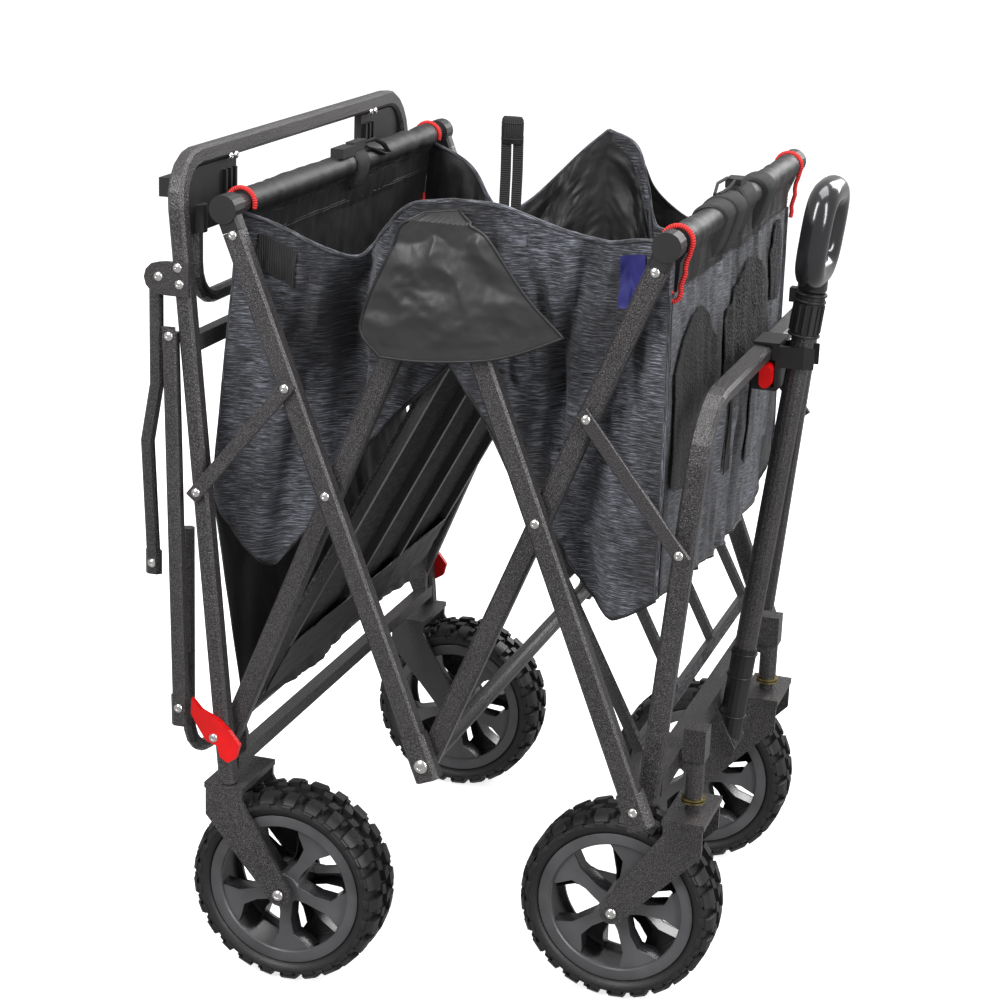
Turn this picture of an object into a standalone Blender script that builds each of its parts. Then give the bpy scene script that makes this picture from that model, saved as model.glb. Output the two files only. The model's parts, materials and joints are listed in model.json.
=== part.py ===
"""Collapsible utility wagon with a pull handle, standing half folded.

Metres. +X points to the front (the pull-handle end), +Y to the left, +Z up, and the origin is on the
floor below the middle of the whole wagon. Each side has two crossed pairs of bars: B and A cross at the
rear, C and D at the front. A and C meet at the bottom of the middle, B and D at its top, and the wagon
opens as all four bars lean further from the vertical. The side at -Y is called near, at +Y far.

The dimensions below measure X from the middle joint, and main() moves the finished wagon by MIDDLE_SHIFT.
"""

from math import cos, pi, radians, sin

import bmesh
import bpy
from mathutils import Matrix, Vector

GAP = 0.0003

# Fold geometry, in the XZ plane of a side
TILT = radians(21.83)  # lean of every bar from the vertical, as modelled
FOOT_X = 0.209  # foot pivots of bars B and D, from the middle
FOOT_Z = 0.25
FOOT_TO_CROSS = 0.2868  # foot pivot to the rivet where the bars cross
CROSS_TO_MIDDLE = 0.2744  # that rivet to the middle joint, on bars A and C
CROSS_TO_LINK = 0.1071  # that rivet to the link's end, on bars A and C
ROD_ALONG = 0.555  # middle joint to the top rod, along bars A and C
MIDDLE_SHIFT = -0.0071  # the middle joint's X from the origin, which is the middle of the whole length
MIDDLE_Z = FOOT_Z + (FOOT_TO_CROSS - CROSS_TO_MIDDLE) * cos(TILT)
CROSS_X = CROSS_TO_MIDDLE * sin(TILT)
ROD_X = ROD_ALONG * sin(TILT)
ROD_Z = MIDDLE_Z + ROD_ALONG * cos(TILT)

# Side bars: an outer layer (A, D) and an inner layer (B, C), as distances from the middle plane
BAR_WIDTH = 0.020
BAR_CHAMFER = 0.0025
OUTER = (0.2845, 0.3005)
INNER = (0.2665, 0.2825)
LINK_WIDTH = 0.014
REAR_LINK_LAYER = (0.3016, 0.3058)
FRONT_LINK_LAYER = (0.2835, 0.2880)
LINK_FEET = {"rear": (-0.2317, 0.5052), "front": (0.2345, 0.4997)}
ROD_RADIUS = 0.009
MIDDLE_TUBE_RADIUS = 0.009

# End frames
REAR_UPRIGHT_Y = 0.2925  # the rear frame stands outside bars B, in the plane of bars A
REAR_TUBE = (0.016, 0.017)  # along X, along Y
REAR_FOOT = (-0.2028, 0.2085)  # X and Z of the rear uprights' lower end
REAR_TOP = (-0.2585, 0.815)
REAR_CORNER = 0.043
REAR_CROSS_Z = 0.646
REAR_LOW_TUBE = (-0.2030, 0.2255)
REAR_LOW_SIZE = 0.014
FRONT_UPRIGHT_Y = 0.2575  # the front frame stands inside bars C
FRONT_TUBE = (0.020, 0.015)
FRONT_FOOT = (0.2121, 0.245)
FRONT_TOP = (0.2443, 0.631)
FRONT_CORNER = 0.052
FRONT_LOW_TUBE = (0.2135, 0.258)
LOW_TUBE_SIZE = 0.020
PLATE_INNER_Y = 0.166
PLATE_LOW_Z = 0.744
LOOP_Y = 0.248
LOOP_Z = 0.676
LOOP_RADIUS = 0.0075

# Wheels
WHEEL_RADIUS = 0.100
RIM_RADIUS = 0.0787
HUB_RADIUS = 0.017
AXLE_RADIUS = 0.004
AXLE_CLEARANCE = 0.0005
WHEEL_HALF_WIDTH = 0.032
TREAD_HALF_WIDTH = 0.026
WHEEL_SIDES = 36
SPOKES = 5
REAR_AXLE_X = -0.1453
REAR_WHEEL_Y = 0.2615
REAR_FORK_X = -0.2045
CASTER_X = 0.238
CASTER_Y = 0.175
CASTER_TRAIL = 0.066
FORK_PLATE = 0.004
FORK_TOP_Z = 0.2075
FORK_GAP = 0.0035

# Pull handle, which leans forward about its lower pivot
HANDLE_PIVOT = (0.2338, 0.0, 0.211)
HANDLE_LEAN = radians(6.2)
HANDLE_TUBE_RADIUS = 0.0115
HANDLE_BORE = 0.0095
SLIDER_RADIUS = 0.0085
SLEEVE_RADIUS = 0.0128
BARREL_HALF = 0.0185
SLEEVE_END = 0.105
TUBE_END = 0.4400
COLLAR_RADIUS = 0.0145
COLLAR = (0.4405, 0.4850)
GRIP_START = 0.4860
GRIP_HEIGHT = 0.116
GRIP_HALF_WIDTH = 0.060
GRIP_RADIUS = 0.0175

# Rear rack, folded flat against the rear frame
RACK_HINGE = (-0.2600, 0.6525)
RACK_FOOT = (-0.2512, 0.2790)
RACK_LAYER = (0.2925, 0.3045)
OUTSIDE_REAR_TUBE = 0.3016  # the rack's ends above its hinge stay outside this, so they clear the uprights
RACK_LOOP = (-0.2580, 0.2140, 0.456)  # X, and the heights of its bottom and top
RACK_LOOP_RADIUS = 0.0065
RACK_LOOP_Y = 0.266
STAY_LAYER = (0.2828, 0.2908)
STAY_HINGE = (-0.2805, 0.7050)
STAY_BEND = (-0.2805, 0.6020)
STAY_KNEE = (-0.2905, 0.5450)
STAY_FOOT = (-0.2850, 0.4240)
LATCH_PIVOT = (-0.2129, 0.2584)

# Folding floor
FLOOR_HINGE = (0.194, 0.288)
FLOOR_LENGTH = 0.404
FLOOR_LEAN = radians(27.7)
FLOOR_HALF_WIDTH = 0.238
FLOOR_TUBE = 0.010
BOARD_THICKNESS = 0.004
BOARD_START = {"rear": 0.004, "front": 0.175}  # the front board leaves the low part of its ladder open

# Fabric basket
SIDE_Y = (0.2420, 0.2470)
SIDE_HALF_LENGTH = 0.150
PANEL_HALF_WIDTH = 0.2400
REAR_PANEL_X = (-0.2180, -0.2130)
FRONT_PANEL_X = (0.2040, 0.2085)
FLAP_Y = (0.3035, 0.3085)
STRAP_X = -0.0265


def clear_scene():
    for obj in list(bpy.data.objects):
        bpy.data.objects.remove(obj, do_unlink=True)


def material(name, color, roughness, metallic=0.0):
    made = bpy.data.materials.new(name)
    made.use_nodes = True
    shader = made.node_tree.nodes["Principled BSDF"]
    shader.inputs["Base Color"].default_value = (*color, 1)
    shader.inputs["Roughness"].default_value = roughness
    shader.inputs["Metallic"].default_value = metallic
    return made


# Building blocks ---------------------------------------------------------------------------------


def new_object(name, bm, look):
    """An object from a bmesh in world coordinates, with its normals outward and round sides smooth."""
    bmesh.ops.recalc_face_normals(bm, faces=bm.faces)
    mesh = bpy.data.meshes.new(name)
    bm.to_mesh(mesh)
    bm.free()
    mesh.shade_smooth()
    mesh.set_sharp_from_angle(angle=radians(35))
    mesh.materials.append(look)
    obj = bpy.data.objects.new(name, mesh)
    bpy.context.scene.collection.objects.link(obj)
    return obj


def add_prism(bm, outline, low, high, axis="y"):
    """A closed prism: a 2-D outline (XZ for axis y, YZ for axis x, XY for axis z) from low to high."""

    def point(a, b, c):
        return {"y": (a, c, b), "x": (c, a, b), "z": (a, b, c)}[axis]

    bottom = [bm.verts.new(point(a, b, low)) for a, b in outline]
    top = [bm.verts.new(point(a, b, high)) for a, b in outline]
    bm.faces.new(bottom)
    bm.faces.new(list(reversed(top)))
    for i in range(len(outline)):
        j = (i + 1) % len(outline)
        bm.faces.new((bottom[j], bottom[i], top[i], top[j]))


def prism(name, outline, low, high, look, axis="y"):
    bm = bmesh.new()
    add_prism(bm, outline, low, high, axis)
    return new_object(name, bm, look)


def box(name, low, high, look):
    x0, x1 = sorted((low[0], high[0]))
    z0, z1 = sorted((low[2], high[2]))
    outline = [(x0, z0), (x1, z0), (x1, z1), (x0, z1)]
    return prism(name, outline, *sorted((low[1], high[1])), look)


def circle(center, radius, sides=16, start=0.0, end=2 * pi):
    """Points round a circle, or along an arc with both its ends."""
    whole = abs(end - start) > 2 * pi - 1e-6
    steps = sides if whole else sides + 1
    angles = [start + (end - start) * i / sides for i in range(steps)]
    return [(center[0] + radius * cos(a), center[1] + radius * sin(a)) for a in angles]


def cylinder(name, center, radius, low, high, look, axis="y", sides=16):
    return prism(name, circle(center, radius, sides), low, high, look, axis)


def sweep(name, path, section, look, first_side):
    """A bar of constant section along a path. Each section point is (side, lift), and first_side is
    the direction of side at the start; it is carried along the path without twist."""
    points = [Vector(p) for p in path]
    bm = bmesh.new()
    side = Vector(first_side)
    rings = []
    for i, here in enumerate(points):
        before = (here - points[i - 1]).normalized() if i else None
        after = (points[i + 1] - here).normalized() if i + 1 < len(points) else None
        along = ((before or after) + (after or before)).normalized()
        side = (side - along * side.dot(along)).normalized()
        lift = along.cross(side)
        ring = []
        for a, b in section:
            offset = side * a + lift * b
            if before and after:  # mitre: keep the section's width through the bend
                turn = (after - before).normalized() if (after - before).length > 1e-9 else None
                if turn:
                    stretch = 1 / max(0.2, along.dot(after))
                    offset += turn * (offset.dot(turn) * (stretch - 1))
            ring.append(bm.verts.new(here + offset))
        rings.append(ring)
    for one, two in zip(rings, rings[1:]):
        for i in range(len(section)):
            j = (i + 1) % len(section)
            bm.faces.new((one[i], one[j], two[j], two[i]))
    bm.faces.new(list(reversed(rings[0])))
    bm.faces.new(rings[-1])
    return new_object(name, bm, look)


def rectangle(width, height, chamfer):
    """A rectangle's outline with cut corners, centred."""
    w, h, c = width / 2, height / 2, chamfer
    return [(w - c, -h), (w, c - h), (w, h - c), (w - c, h), (c - w, h), (-w, h - c), (-w, c - h), (c - w, -h)]


def rounded_path(corners, radius, steps=5):
    """The polyline through 3-D corners with each inner corner turned into an arc."""
    points = [Vector(c) for c in corners]
    path = [points[0]]
    for before, here, after in zip(points, points[1:], points[2:]):
        a, b = (before - here).normalized(), (after - here).normalized()
        half = a.angle(b) / 2
        tangent = radius / max(1e-6, abs(sin(half) / cos(half)))
        center = here + (a + b).normalized() * (radius / sin(half))
        start, end = here + a * tangent - center, here + b * tangent - center
        turn = start.angle(end)
        for i in range(steps + 1):
            f = i / steps
            path.append(center + (start * sin((1 - f) * turn) + end * sin(f * turn)) / sin(turn))
    path.append(points[-1])
    return path


def hide_cutter(obj):
    obj.hide_render = True
    obj.display_type = "WIRE"


def combine(target, *others, operation="UNION", solver="EXACT"):
    for other in others:
        hide_cutter(other)
        modifier = target.modifiers.new(operation.title(), "BOOLEAN")
        modifier.operation = operation
        modifier.solver = solver
        modifier.object = other
    return target


def cut(target, *others):
    return combine(target, *others, operation="DIFFERENCE")


def side_span(side, layer):
    """The Y span of a layer on one side: side is -1 for near and +1 for far."""
    return tuple(sorted((side * layer[0], side * layer[1])))


# Bodies ------------------------------------------------------------------------------------------

SIDES = {"near": -1, "far": 1}
EMPTIES = {}


def body(name, pivot, parent=None):
    """An empty on the body's joint axis. The body's pieces are parented to it."""
    empty = bpy.data.objects.new("body_" + name, None)
    bpy.context.scene.collection.objects.link(empty)
    offset = Vector(pivot)
    if parent:
        empty.parent = EMPTIES[parent]
        offset -= world_pivot(parent)
    empty.location = offset
    EMPTIES[name] = empty


def world_pivot(name):
    empty = EMPTIES[name]
    total = Vector(empty.location)
    while empty.parent:
        empty = empty.parent
        total += empty.location
    return total


def attach(name, *objects):
    """Parents pieces to a body, with each piece's origin moved onto the body's axis."""
    pivot = world_pivot(name)
    for obj in objects:
        obj.data.transform(Matrix.Translation(-pivot))
        for modifier in obj.modifiers:
            if modifier.type == "BOOLEAN":
                modifier.object.data.transform(Matrix.Translation(-pivot))
                modifier.object.parent = EMPTIES[name]
        obj.parent = EMPTIES[name]


def make_bodies():
    body("rear_frame", (0, 0, 0))
    body("rear_rack", (RACK_HINGE[0], 0, RACK_HINGE[1]), "rear_frame")
    body("stay_arms", (STAY_HINGE[0], 0, STAY_HINGE[1]), "rear_frame")
    body("bars_b", (-FOOT_X, 0, FOOT_Z), "rear_frame")
    cross_z = FOOT_Z + FOOT_TO_CROSS * cos(TILT)
    body("bars_a", (-CROSS_X, 0, cross_z), "bars_b")
    body("bars_c", (0, 0, MIDDLE_Z), "bars_a")
    body("bars_d", (CROSS_X, 0, cross_z), "bars_c")
    body("front_frame", (FOOT_X, 0, FOOT_Z), "bars_d")
    for end, (x, z) in LINK_FEET.items():
        body(end + "_links", (x, 0, z), end + "_frame")
    body("rear_floor", (-FLOOR_HINGE[0], 0, FLOOR_HINGE[1]), "rear_frame")
    body("front_floor", (FLOOR_HINGE[0], 0, FLOOR_HINGE[1]), "front_frame")
    body("rear_basket", (-ROD_X, 0, ROD_Z), "rear_frame")
    body("middle_basket", (0, 0, ROD_Z), "rear_basket")
    body("front_basket", (ROD_X, 0, ROD_Z), "middle_basket")
    body("handle", HANDLE_PIVOT, "front_frame")
    body("grip", handle_point(GRIP_START), "handle")
    body("clip_button", (FRONT_TOP[0], 0, FRONT_TOP[1]), "front_frame")
    for name, side in SIDES.items():
        body("latch_" + name, (LATCH_PIVOT[0], 0, LATCH_PIVOT[1]), "rear_frame")
        body("rear_wheel_" + name, (REAR_AXLE_X, side * REAR_WHEEL_Y, WHEEL_RADIUS), "rear_frame")
        body("caster_" + name, (CASTER_X, side * CASTER_Y, FORK_TOP_Z), "front_frame")
        wheel_x = CASTER_X - CASTER_TRAIL
        body("front_wheel_" + name, (wheel_x, side * CASTER_Y, WHEEL_RADIUS), "caster_" + name)


# Side frames -------------------------------------------------------------------------------------


def lean(sign, along, start):
    """A point in XZ along a bar that leans towards sign * X, from its start."""
    return (start[0] + sign * along * sin(TILT), start[1] + along * cos(TILT))


def bar(name, start, end, layer, look, width=BAR_WIDTH, chamfer=BAR_CHAMFER):
    """A straight bar between two XZ points, in a layer's Y span."""
    y = sum(layer) / 2
    section = rectangle(width, layer[1] - layer[0], chamfer)
    return sweep(name, [(start[0], y, start[1]), (end[0], y, end[1])], section, look, (1, 0, 0))


def middle_cap(name, side, look):
    """The plastic shoe round the foot of bar A, which carries the middle bolt."""
    layer = side_span(side, (OUTER[0] - 0.0008, OUTER[1] + 0.0012))
    middle = (0.0, MIDDLE_Z)
    return bar(name, lean(-1, -0.0165, middle), lean(-1, 0.030, middle), layer, look, 0.0245, 0.004)


def front_shoe(name, side, look):
    """The plastic shoe round the foot of bar D."""
    layer = side_span(side, (OUTER[0] - 0.0008, OUTER[1] + 0.0012))
    foot = (FOOT_X, FOOT_Z)
    return bar(name, lean(-1, -0.0185, foot), lean(-1, 0.0170, foot), layer, look, 0.0260, 0.005)


def side_bars(steel, plastic):
    foot_rear, foot_front, middle = (-FOOT_X, FOOT_Z), (FOOT_X, FOOT_Z), (0.0, MIDDLE_Z)
    peak = FOOT_TO_CROSS + CROSS_TO_MIDDLE
    for name, side in SIDES.items():
        outer, inner = side_span(side, OUTER), side_span(side, INNER)
        bar_a = bar("bar_a_" + name, lean(-1, -0.010, middle), lean(-1, 0.533, middle), outer, steel)
        combine(bar_a, middle_cap("cap_shape_" + name, side, plastic))
        bar_c = bar("bar_c_" + name, lean(1, -0.012, middle), lean(1, 0.533, middle), inner, steel)
        bar_b = bar(
            "bar_b_" + name, lean(1, -0.006, foot_rear), lean(1, peak + 0.010, foot_rear), inner, steel,
        )
        bar_d = bar(
            "bar_d_" + name, lean(-1, -0.012, foot_front), lean(-1, peak + 0.010, foot_front), outer, steel,
        )
        combine(bar_d, front_shoe("shoe_shape_" + name, side, plastic))
        attach("bars_a", bar_a, rod_joint("rear", name, -1, side, OUTER, plastic))
        attach("bars_b", bar_b)
        attach("bars_c", bar_c, rod_joint("front", name, 1, side, INNER, plastic))
        attach("bars_d", bar_d)


def rod_joint(end, name, sign, side, layer, look):
    """The plastic tee on a bar's top end: a shank that meets the bar and a barrel round the rod's end."""
    low, high = side_span(side, layer)
    middle = (0.0, MIDDLE_Z)
    joint = bar(
        f"{end}_rod_joint_{name}", lean(sign, 0.5335, middle), lean(sign, ROD_ALONG, middle), (low, high), look
    )
    barrel_y = side_span(side, (layer[0] - 0.004, layer[1] + 0.0015))
    barrel = cylinder(joint.name + "_barrel", (sign * ROD_X, ROD_Z), 0.0135, *barrel_y, look)
    return combine(joint, barrel)


def rods(steel):
    rear_y, front_y = OUTER[0] - 0.004 - GAP, INNER[0] - 0.004 - GAP
    attach("bars_a", cylinder("rear_top_rod", (-ROD_X, ROD_Z), ROD_RADIUS, -rear_y, rear_y, steel))
    attach("bars_c", cylinder("front_top_rod", (ROD_X, ROD_Z), ROD_RADIUS, -front_y, front_y, steel))
    reach = INNER[0] - GAP
    attach("bars_c", cylinder("middle_tube", (0, MIDDLE_Z), MIDDLE_TUBE_RADIUS, -reach, reach, steel))


def links(steel):
    aim = FOOT_TO_CROSS - CROSS_TO_LINK
    tip = (-FOOT_X + aim * sin(TILT), FOOT_Z + (FOOT_TO_CROSS + CROSS_TO_LINK) * cos(TILT))
    for name, side in SIDES.items():
        for end, sign, layer in (("rear", 1, REAR_LINK_LAYER), ("front", -1, FRONT_LINK_LAYER)):
            foot = Vector(LINK_FEET[end])
            top = Vector((sign * tip[0], tip[1]))
            reach = (top - foot).normalized() * 0.008
            piece = bar(
                f"{end}_link_{name}", foot - reach, top + reach, side_span(side, layer), steel, LINK_WIDTH, 0.001
            )
            attach(end + "_links", piece)


# End frames --------------------------------------------------------------------------------------


def end_frame(name, foot, top, y, size, corner, look):
    """An upside-down U of rectangular tube with round top corners."""
    corners = [(foot[0], -y, foot[1]), (top[0], -y, top[1])]
    corners += [(x, -y, z) for x, y, z in reversed(corners)]
    section = rectangle(*size, 0.003)
    return sweep(name, rounded_path(corners, corner), section, look, (1, 0, 0))


def upright_x(z, foot, top):
    return foot[0] + (top[0] - foot[0]) * (z - foot[1]) / (top[1] - foot[1])


def rear_frame(steel, plastic):
    frame = end_frame("rear_frame_tube", REAR_FOOT, REAR_TOP, REAR_UPRIGHT_Y, REAR_TUBE, REAR_CORNER, steel)
    inside = REAR_UPRIGHT_Y - REAR_TUBE[1] / 2
    cross_x = upright_x(REAR_CROSS_Z, REAR_FOOT, REAR_TOP)
    cross = box(
        "rear_cross_shape",
        (cross_x - 0.006, -inside - 0.004, REAR_CROSS_Z - 0.008),
        (cross_x + 0.006, inside + 0.004, REAR_CROSS_Z + 0.008),
        steel,
    )
    combine(frame, cross)
    for name, side in SIDES.items():
        combine(frame, stay_bracket(name, side, steel))
    attach("rear_frame", frame, rear_low_tube(steel))
    attach("rear_frame", push_loop(steel))
    for name, side in SIDES.items():
        attach("rear_frame", corner_plate(name, side, plastic))
        attach("rear_frame", rear_fork(name, side, steel))


def rear_low_tube(steel):
    """The low cross tube between the uprights, with a tab behind each bar B that carries its pivot."""
    x, z = REAR_LOW_TUBE
    reach = REAR_UPRIGHT_Y - REAR_TUBE[1] / 2 - GAP
    half = REAR_LOW_SIZE / 2
    tube = box("rear_low_tube", (x - half, -reach, z - half), (x + half, reach, z + half), steel)
    for name, side in SIDES.items():
        y = side_span(side, (INNER[0] - 0.0070, INNER[0] - 0.0010))
        outline = [(x - half, z), (x + half, z), (-FOOT_X + 0.013, FOOT_Z), (-FOOT_X + 0.009, FOOT_Z + 0.012)]
        outline += [(-FOOT_X - 0.009, FOOT_Z + 0.012), (-FOOT_X - 0.012, FOOT_Z)]
        combine(tube, prism("rear_foot_shape_" + name, outline, *y, steel))
    return tube


def stay_bracket(name, side, look):
    """The small steel plate on the upright's outer face that carries a stay arm's pivot."""
    x, z = STAY_HINGE
    inner = REAR_UPRIGHT_Y + REAR_TUBE[1] / 2 - 0.001
    y = side_span(side, (inner, inner + 0.0040))
    outline = [(x + 0.018, z - 0.013), (x + 0.041, z - 0.013), (x + 0.041, z + 0.019), (x + 0.018, z + 0.019)]
    outline += circle((x + 0.0105, z + 0.003), 0.015, 6, pi / 2, 3 * pi / 2)
    return prism("stay_bracket_shape_" + name, outline, *y, look)


def corner_plate(name, side, look):
    """The black plastic plate under the top corner, ribbed, with a hook behind for the rack."""
    x = REAR_TOP[0]
    center = (REAR_UPRIGHT_Y - REAR_CORNER, REAR_TOP[1] - REAR_CORNER)
    radius = REAR_CORNER - REAR_TUBE[1] / 2 - 0.0014
    outline = [(PLATE_INNER_Y, PLATE_LOW_Z), (center[0] + radius, PLATE_LOW_Z)]
    outline += circle(center, radius, 6, 0.0, pi / 2) + [(PLATE_INNER_Y, center[1] + radius)]
    outline = [(side * y, z) for y, z in outline]
    plate = prism("corner_plate_" + name, outline, x - 0.003, x + 0.005, look, "x")
    for i in range(3):
        y = side * (PLATE_INNER_Y + 0.008 + 0.011 * i)
        rib = box(
            f"rib_shape_{name}_{i}", (x - 0.002, y - 0.002, 0.7455), (x + 0.009, y + 0.002, 0.796), look,
        )
        combine(plate, rib)
    arm = box(
        "hook_arm_shape_" + name, (x - 0.0240, side * 0.236, 0.764), (x - 0.001, side * 0.250, 0.784), look,
    )
    hook = box(
        "hook_shape_" + name, (x - 0.0260, side * 0.240, 0.778), (x - 0.0120, side * 0.272, 0.7960), look,
    )
    socket = cylinder(
        "socket_shape_" + name, (x, side * LOOP_Y), LOOP_RADIUS + 0.004, 0.7438, 0.7700, look, "z",
    )
    return combine(plate, arm, hook, socket)


def push_loop(look):
    """The round tube loop that hangs from the two corner plates."""
    x = REAR_TOP[0]
    top = 0.7435 - GAP
    corners = [(x, -LOOP_Y, top), (x, -LOOP_Y, LOOP_Z), (x, LOOP_Y, LOOP_Z), (x, LOOP_Y, top)]
    return sweep("push_loop", rounded_path(corners, 0.038), circle((0, 0), LOOP_RADIUS, 10), look, (1, 0, 0))


def fork(name, top_x, axle_x, y, half, look):
    """A wheel fork: a channel over the tyre, two legs that lean to the axle, and the axle between them."""
    inner = half + FORK_GAP
    outer = inner + FORK_PLATE
    z = FORK_TOP_Z
    lean = 1 if axle_x > top_x else -1
    channel = box(name, (top_x - 0.021, y - outer, z - 0.006), (top_x + 0.021, y + outer, z), look)
    for i, sign in enumerate((-1, 1)):
        span = sorted((y + sign * inner, y + sign * outer))
        outline = [(top_x - lean * 0.0195, z - 0.002), (top_x + lean * 0.0195, z - 0.002)]
        outline += [(top_x + lean * 0.0195, z - 0.016)]
        start = pi * (0.13 if lean > 0 else 0.87)
        outline += circle((axle_x, WHEEL_RADIUS), 0.0125, 8, start, start - lean * pi)
        outline += [(top_x - lean * 0.0195, z - 0.034)]
        if lean > 0:
            outline.reverse()
        combine(channel, prism(f"{name}_leg_{i}", outline, *span, look))
    axle = cylinder(
        name + "_axle", (axle_x, WHEEL_RADIUS), AXLE_RADIUS, y - outer - 0.002, y + outer + 0.002, look,
    )
    return combine(channel, axle)


def rear_fork(name, side, look):
    return fork("rear_fork_" + name, REAR_FORK_X, REAR_AXLE_X, side * REAR_WHEEL_Y, WHEEL_HALF_WIDTH, look)


# Wheels ------------------------------------------------------------------------------------------


def lathe(name, profile, center, look, sides=WHEEL_SIDES):
    """A ring turned about the Y axis through center, with a flat at the bottom and radii measured to the
    flats. The profile is a closed loop of (radius, y)."""
    bm = bmesh.new()
    rings = []
    profile = [(r / cos(pi / sides), y) for r, y in profile]
    for i in range(sides):
        a = 2 * pi * (i + 0.5) / sides
        spots = [(center[0] + r * cos(a), center[1] + y, center[2] + r * sin(a)) for r, y in profile]
        rings.append([bm.verts.new(spot) for spot in spots])
    for one, two in zip(rings, rings[1:] + rings[:1]):
        for i in range(len(profile)):
            j = (i + 1) % len(profile)
            bm.faces.new((one[i], one[j], two[j], two[i]))
    return new_object(name, bm, look)


def tyre(name, center, look):
    r, w, t = WHEEL_RADIUS, WHEEL_HALF_WIDTH, TREAD_HALF_WIDTH
    inner = RIM_RADIUS + GAP
    profile = [(inner, -w + 0.004), (inner + 0.006, -w), (r - 0.008, -w), (r, -t), (r, t), (r - 0.008, w)]
    profile += [(inner + 0.006, w), (inner, w - 0.004)]
    return lathe(name, profile, center, look)


def rim(name, center, side, look):
    """The moulded rim: a ring, a hub with the axle's bore, and wide blade spokes set on the outer face."""
    w = WHEEL_HALF_WIDTH - 0.0045
    inner = RIM_RADIUS - 0.0085
    ring = lathe(name, [(RIM_RADIUS, -w), (RIM_RADIUS, w), (inner, w), (inner, -w)], center, look)
    y0, y1 = center[1] - w, center[1] + w
    cx, cz = center[0], center[2]
    for i in range(SPOKES):
        middle = pi / 2 + 2 * pi * i / SPOKES
        outline = circle((cx, cz), inner + 0.004, 3, middle - 0.30, middle + 0.30)
        outline += circle((cx, cz), 0.012, 2, middle + 0.55, middle - 0.55)
        low = side * w - (0.010 if side > 0 else 0)
        blade = prism(f"{name}_blade_{i}", outline, center[1] + low + 0.0, center[1] + low + 0.010, look)
        combine(ring, blade)
    combine(ring, cylinder(name + "_hub", (cx, cz), HUB_RADIUS, y0, y1, look))
    bore = cylinder(name + "_bore", (cx, cz), AXLE_RADIUS + AXLE_CLEARANCE, y0 - 0.01, y1 + 0.01, look)
    return cut(ring, bore)


def wheels(rubber, rim_look):
    for name, side in SIDES.items():
        for end, x, y in (("rear", REAR_AXLE_X, REAR_WHEEL_Y), ("front", CASTER_X - CASTER_TRAIL, CASTER_Y)):
            center = (x, side * y, WHEEL_RADIUS)
            attach(
                f"{end}_wheel_{name}",
                tyre(f"{end}_tyre_{name}", center, rubber),
                rim(f"{end}_rim_{name}", center, side, rim_look),
            )


# Front end ---------------------------------------------------------------------------------------


def front_frame(steel, plastic, red):
    frame = end_frame(
        "front_frame_tube", FRONT_FOOT, FRONT_TOP, FRONT_UPRIGHT_Y, FRONT_TUBE, FRONT_CORNER, steel,
    )
    attach("front_frame", frame, front_low_tube(steel), handle_clip(plastic))
    for name, side in SIDES.items():
        attach("caster_" + name, caster_fork(name, side, steel))
    attach("clip_button", clip_button(red))


def clip_button(look):
    """The rounded release button, which stands out of the clip's near side below the crossbar."""
    x, z = FRONT_TOP[0] + 0.0078, FRONT_TOP[1] - 0.0206
    outline = circle((x, z + 0.0057), 0.0060, 6, 0.0, pi) + circle((x, z - 0.0057), 0.0060, 6, pi, 2 * pi)
    return prism("clip_button", outline, -0.0330, -0.0130, look)


def front_low_tube(steel):
    """The low cross tube, with two ears at its middle that hold the pull handle's pivot bolt."""
    x, z = FRONT_LOW_TUBE
    half = LOW_TUBE_SIZE / 2
    reach = FRONT_UPRIGHT_Y - FRONT_TUBE[1] / 2 - GAP
    tube = box("front_low_tube", (x - half, -reach, z - half), (x + half, reach, z + half), steel)
    px, _, pz = HANDLE_PIVOT
    for name, side in SIDES.items():
        y = side_span(side, (BARREL_HALF + 0.001, BARREL_HALF + 0.005))
        outline = [(x + 0.008, z), (x - 0.010, z)] + circle((px, pz), 0.012, 6, pi, 2 * pi)
        combine(tube, prism("ear_shape_" + name, outline, *y, steel), *caster_housing(name, side, steel))
    return tube


def handle_clip(look):
    """The block hooked over the front crossbar, with the open jaw that the handle's tube snaps into and
    the pocket that the release button slides in."""
    x, z = FRONT_TOP
    half, rise = FRONT_TUBE[0] / 2 + 0.0008, FRONT_TUBE[1] / 2 + 0.0008
    span = (-0.0200, 0.0280)
    front = x + half + 0.0070
    shelf = box("handle_clip", (x - 0.0080, span[0], z - 0.0370), (front, span[1], z - rise), look)
    plate = box("clip_plate_shape", (x + half, span[0], z - 0.0370), (front, span[1], z + 0.0110), look)
    hood = box("clip_hood_shape", (x - 0.0080, span[0], z + rise), (front, span[1], z + 0.0110), look)
    combine(shelf, plate, hood)
    for name, side in SIDES.items():
        outline = [(front - 0.002, side * 0.0180), (front + 0.024, side * 0.0165)]
        outline += [(front + 0.034, side * 0.0135)]
        outline += [(front - 0.002, side * 0.0130)]
        combine(shelf, prism("clip_jaw_shape_" + name, outline, z - 0.0135, z + 0.0080, look, "z"))
    pocket = box(
        "clip_pocket", (x + 0.0010, -0.0300, z - 0.0336), (x + 0.0146, -0.0075, z - rise + 0.002), look,
    )
    return cut(shelf, pocket)


def caster_housing(name, side, look):
    """The shapes of a stem housing, welded to the low tube: the barrel and the block above it."""
    y = side * CASTER_Y
    barrel = cylinder(
        "stem_barrel_shape_" + name, (CASTER_X, y), 0.0098, FORK_TOP_Z + 0.008, 0.275, look, "z",
    )
    low, high = (CASTER_X - 0.0110, y - 0.0115, 0.2600), (CASTER_X + 0.0110, y + 0.0115, 0.2930)
    tie = (CASTER_X - 0.0260, y - 0.0090, 0.2500), (CASTER_X, y + 0.0090, 0.2660)
    return barrel, box("stem_block_shape_" + name, low, high, look), box("stem_tie_shape_" + name, *tie, look)


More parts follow.
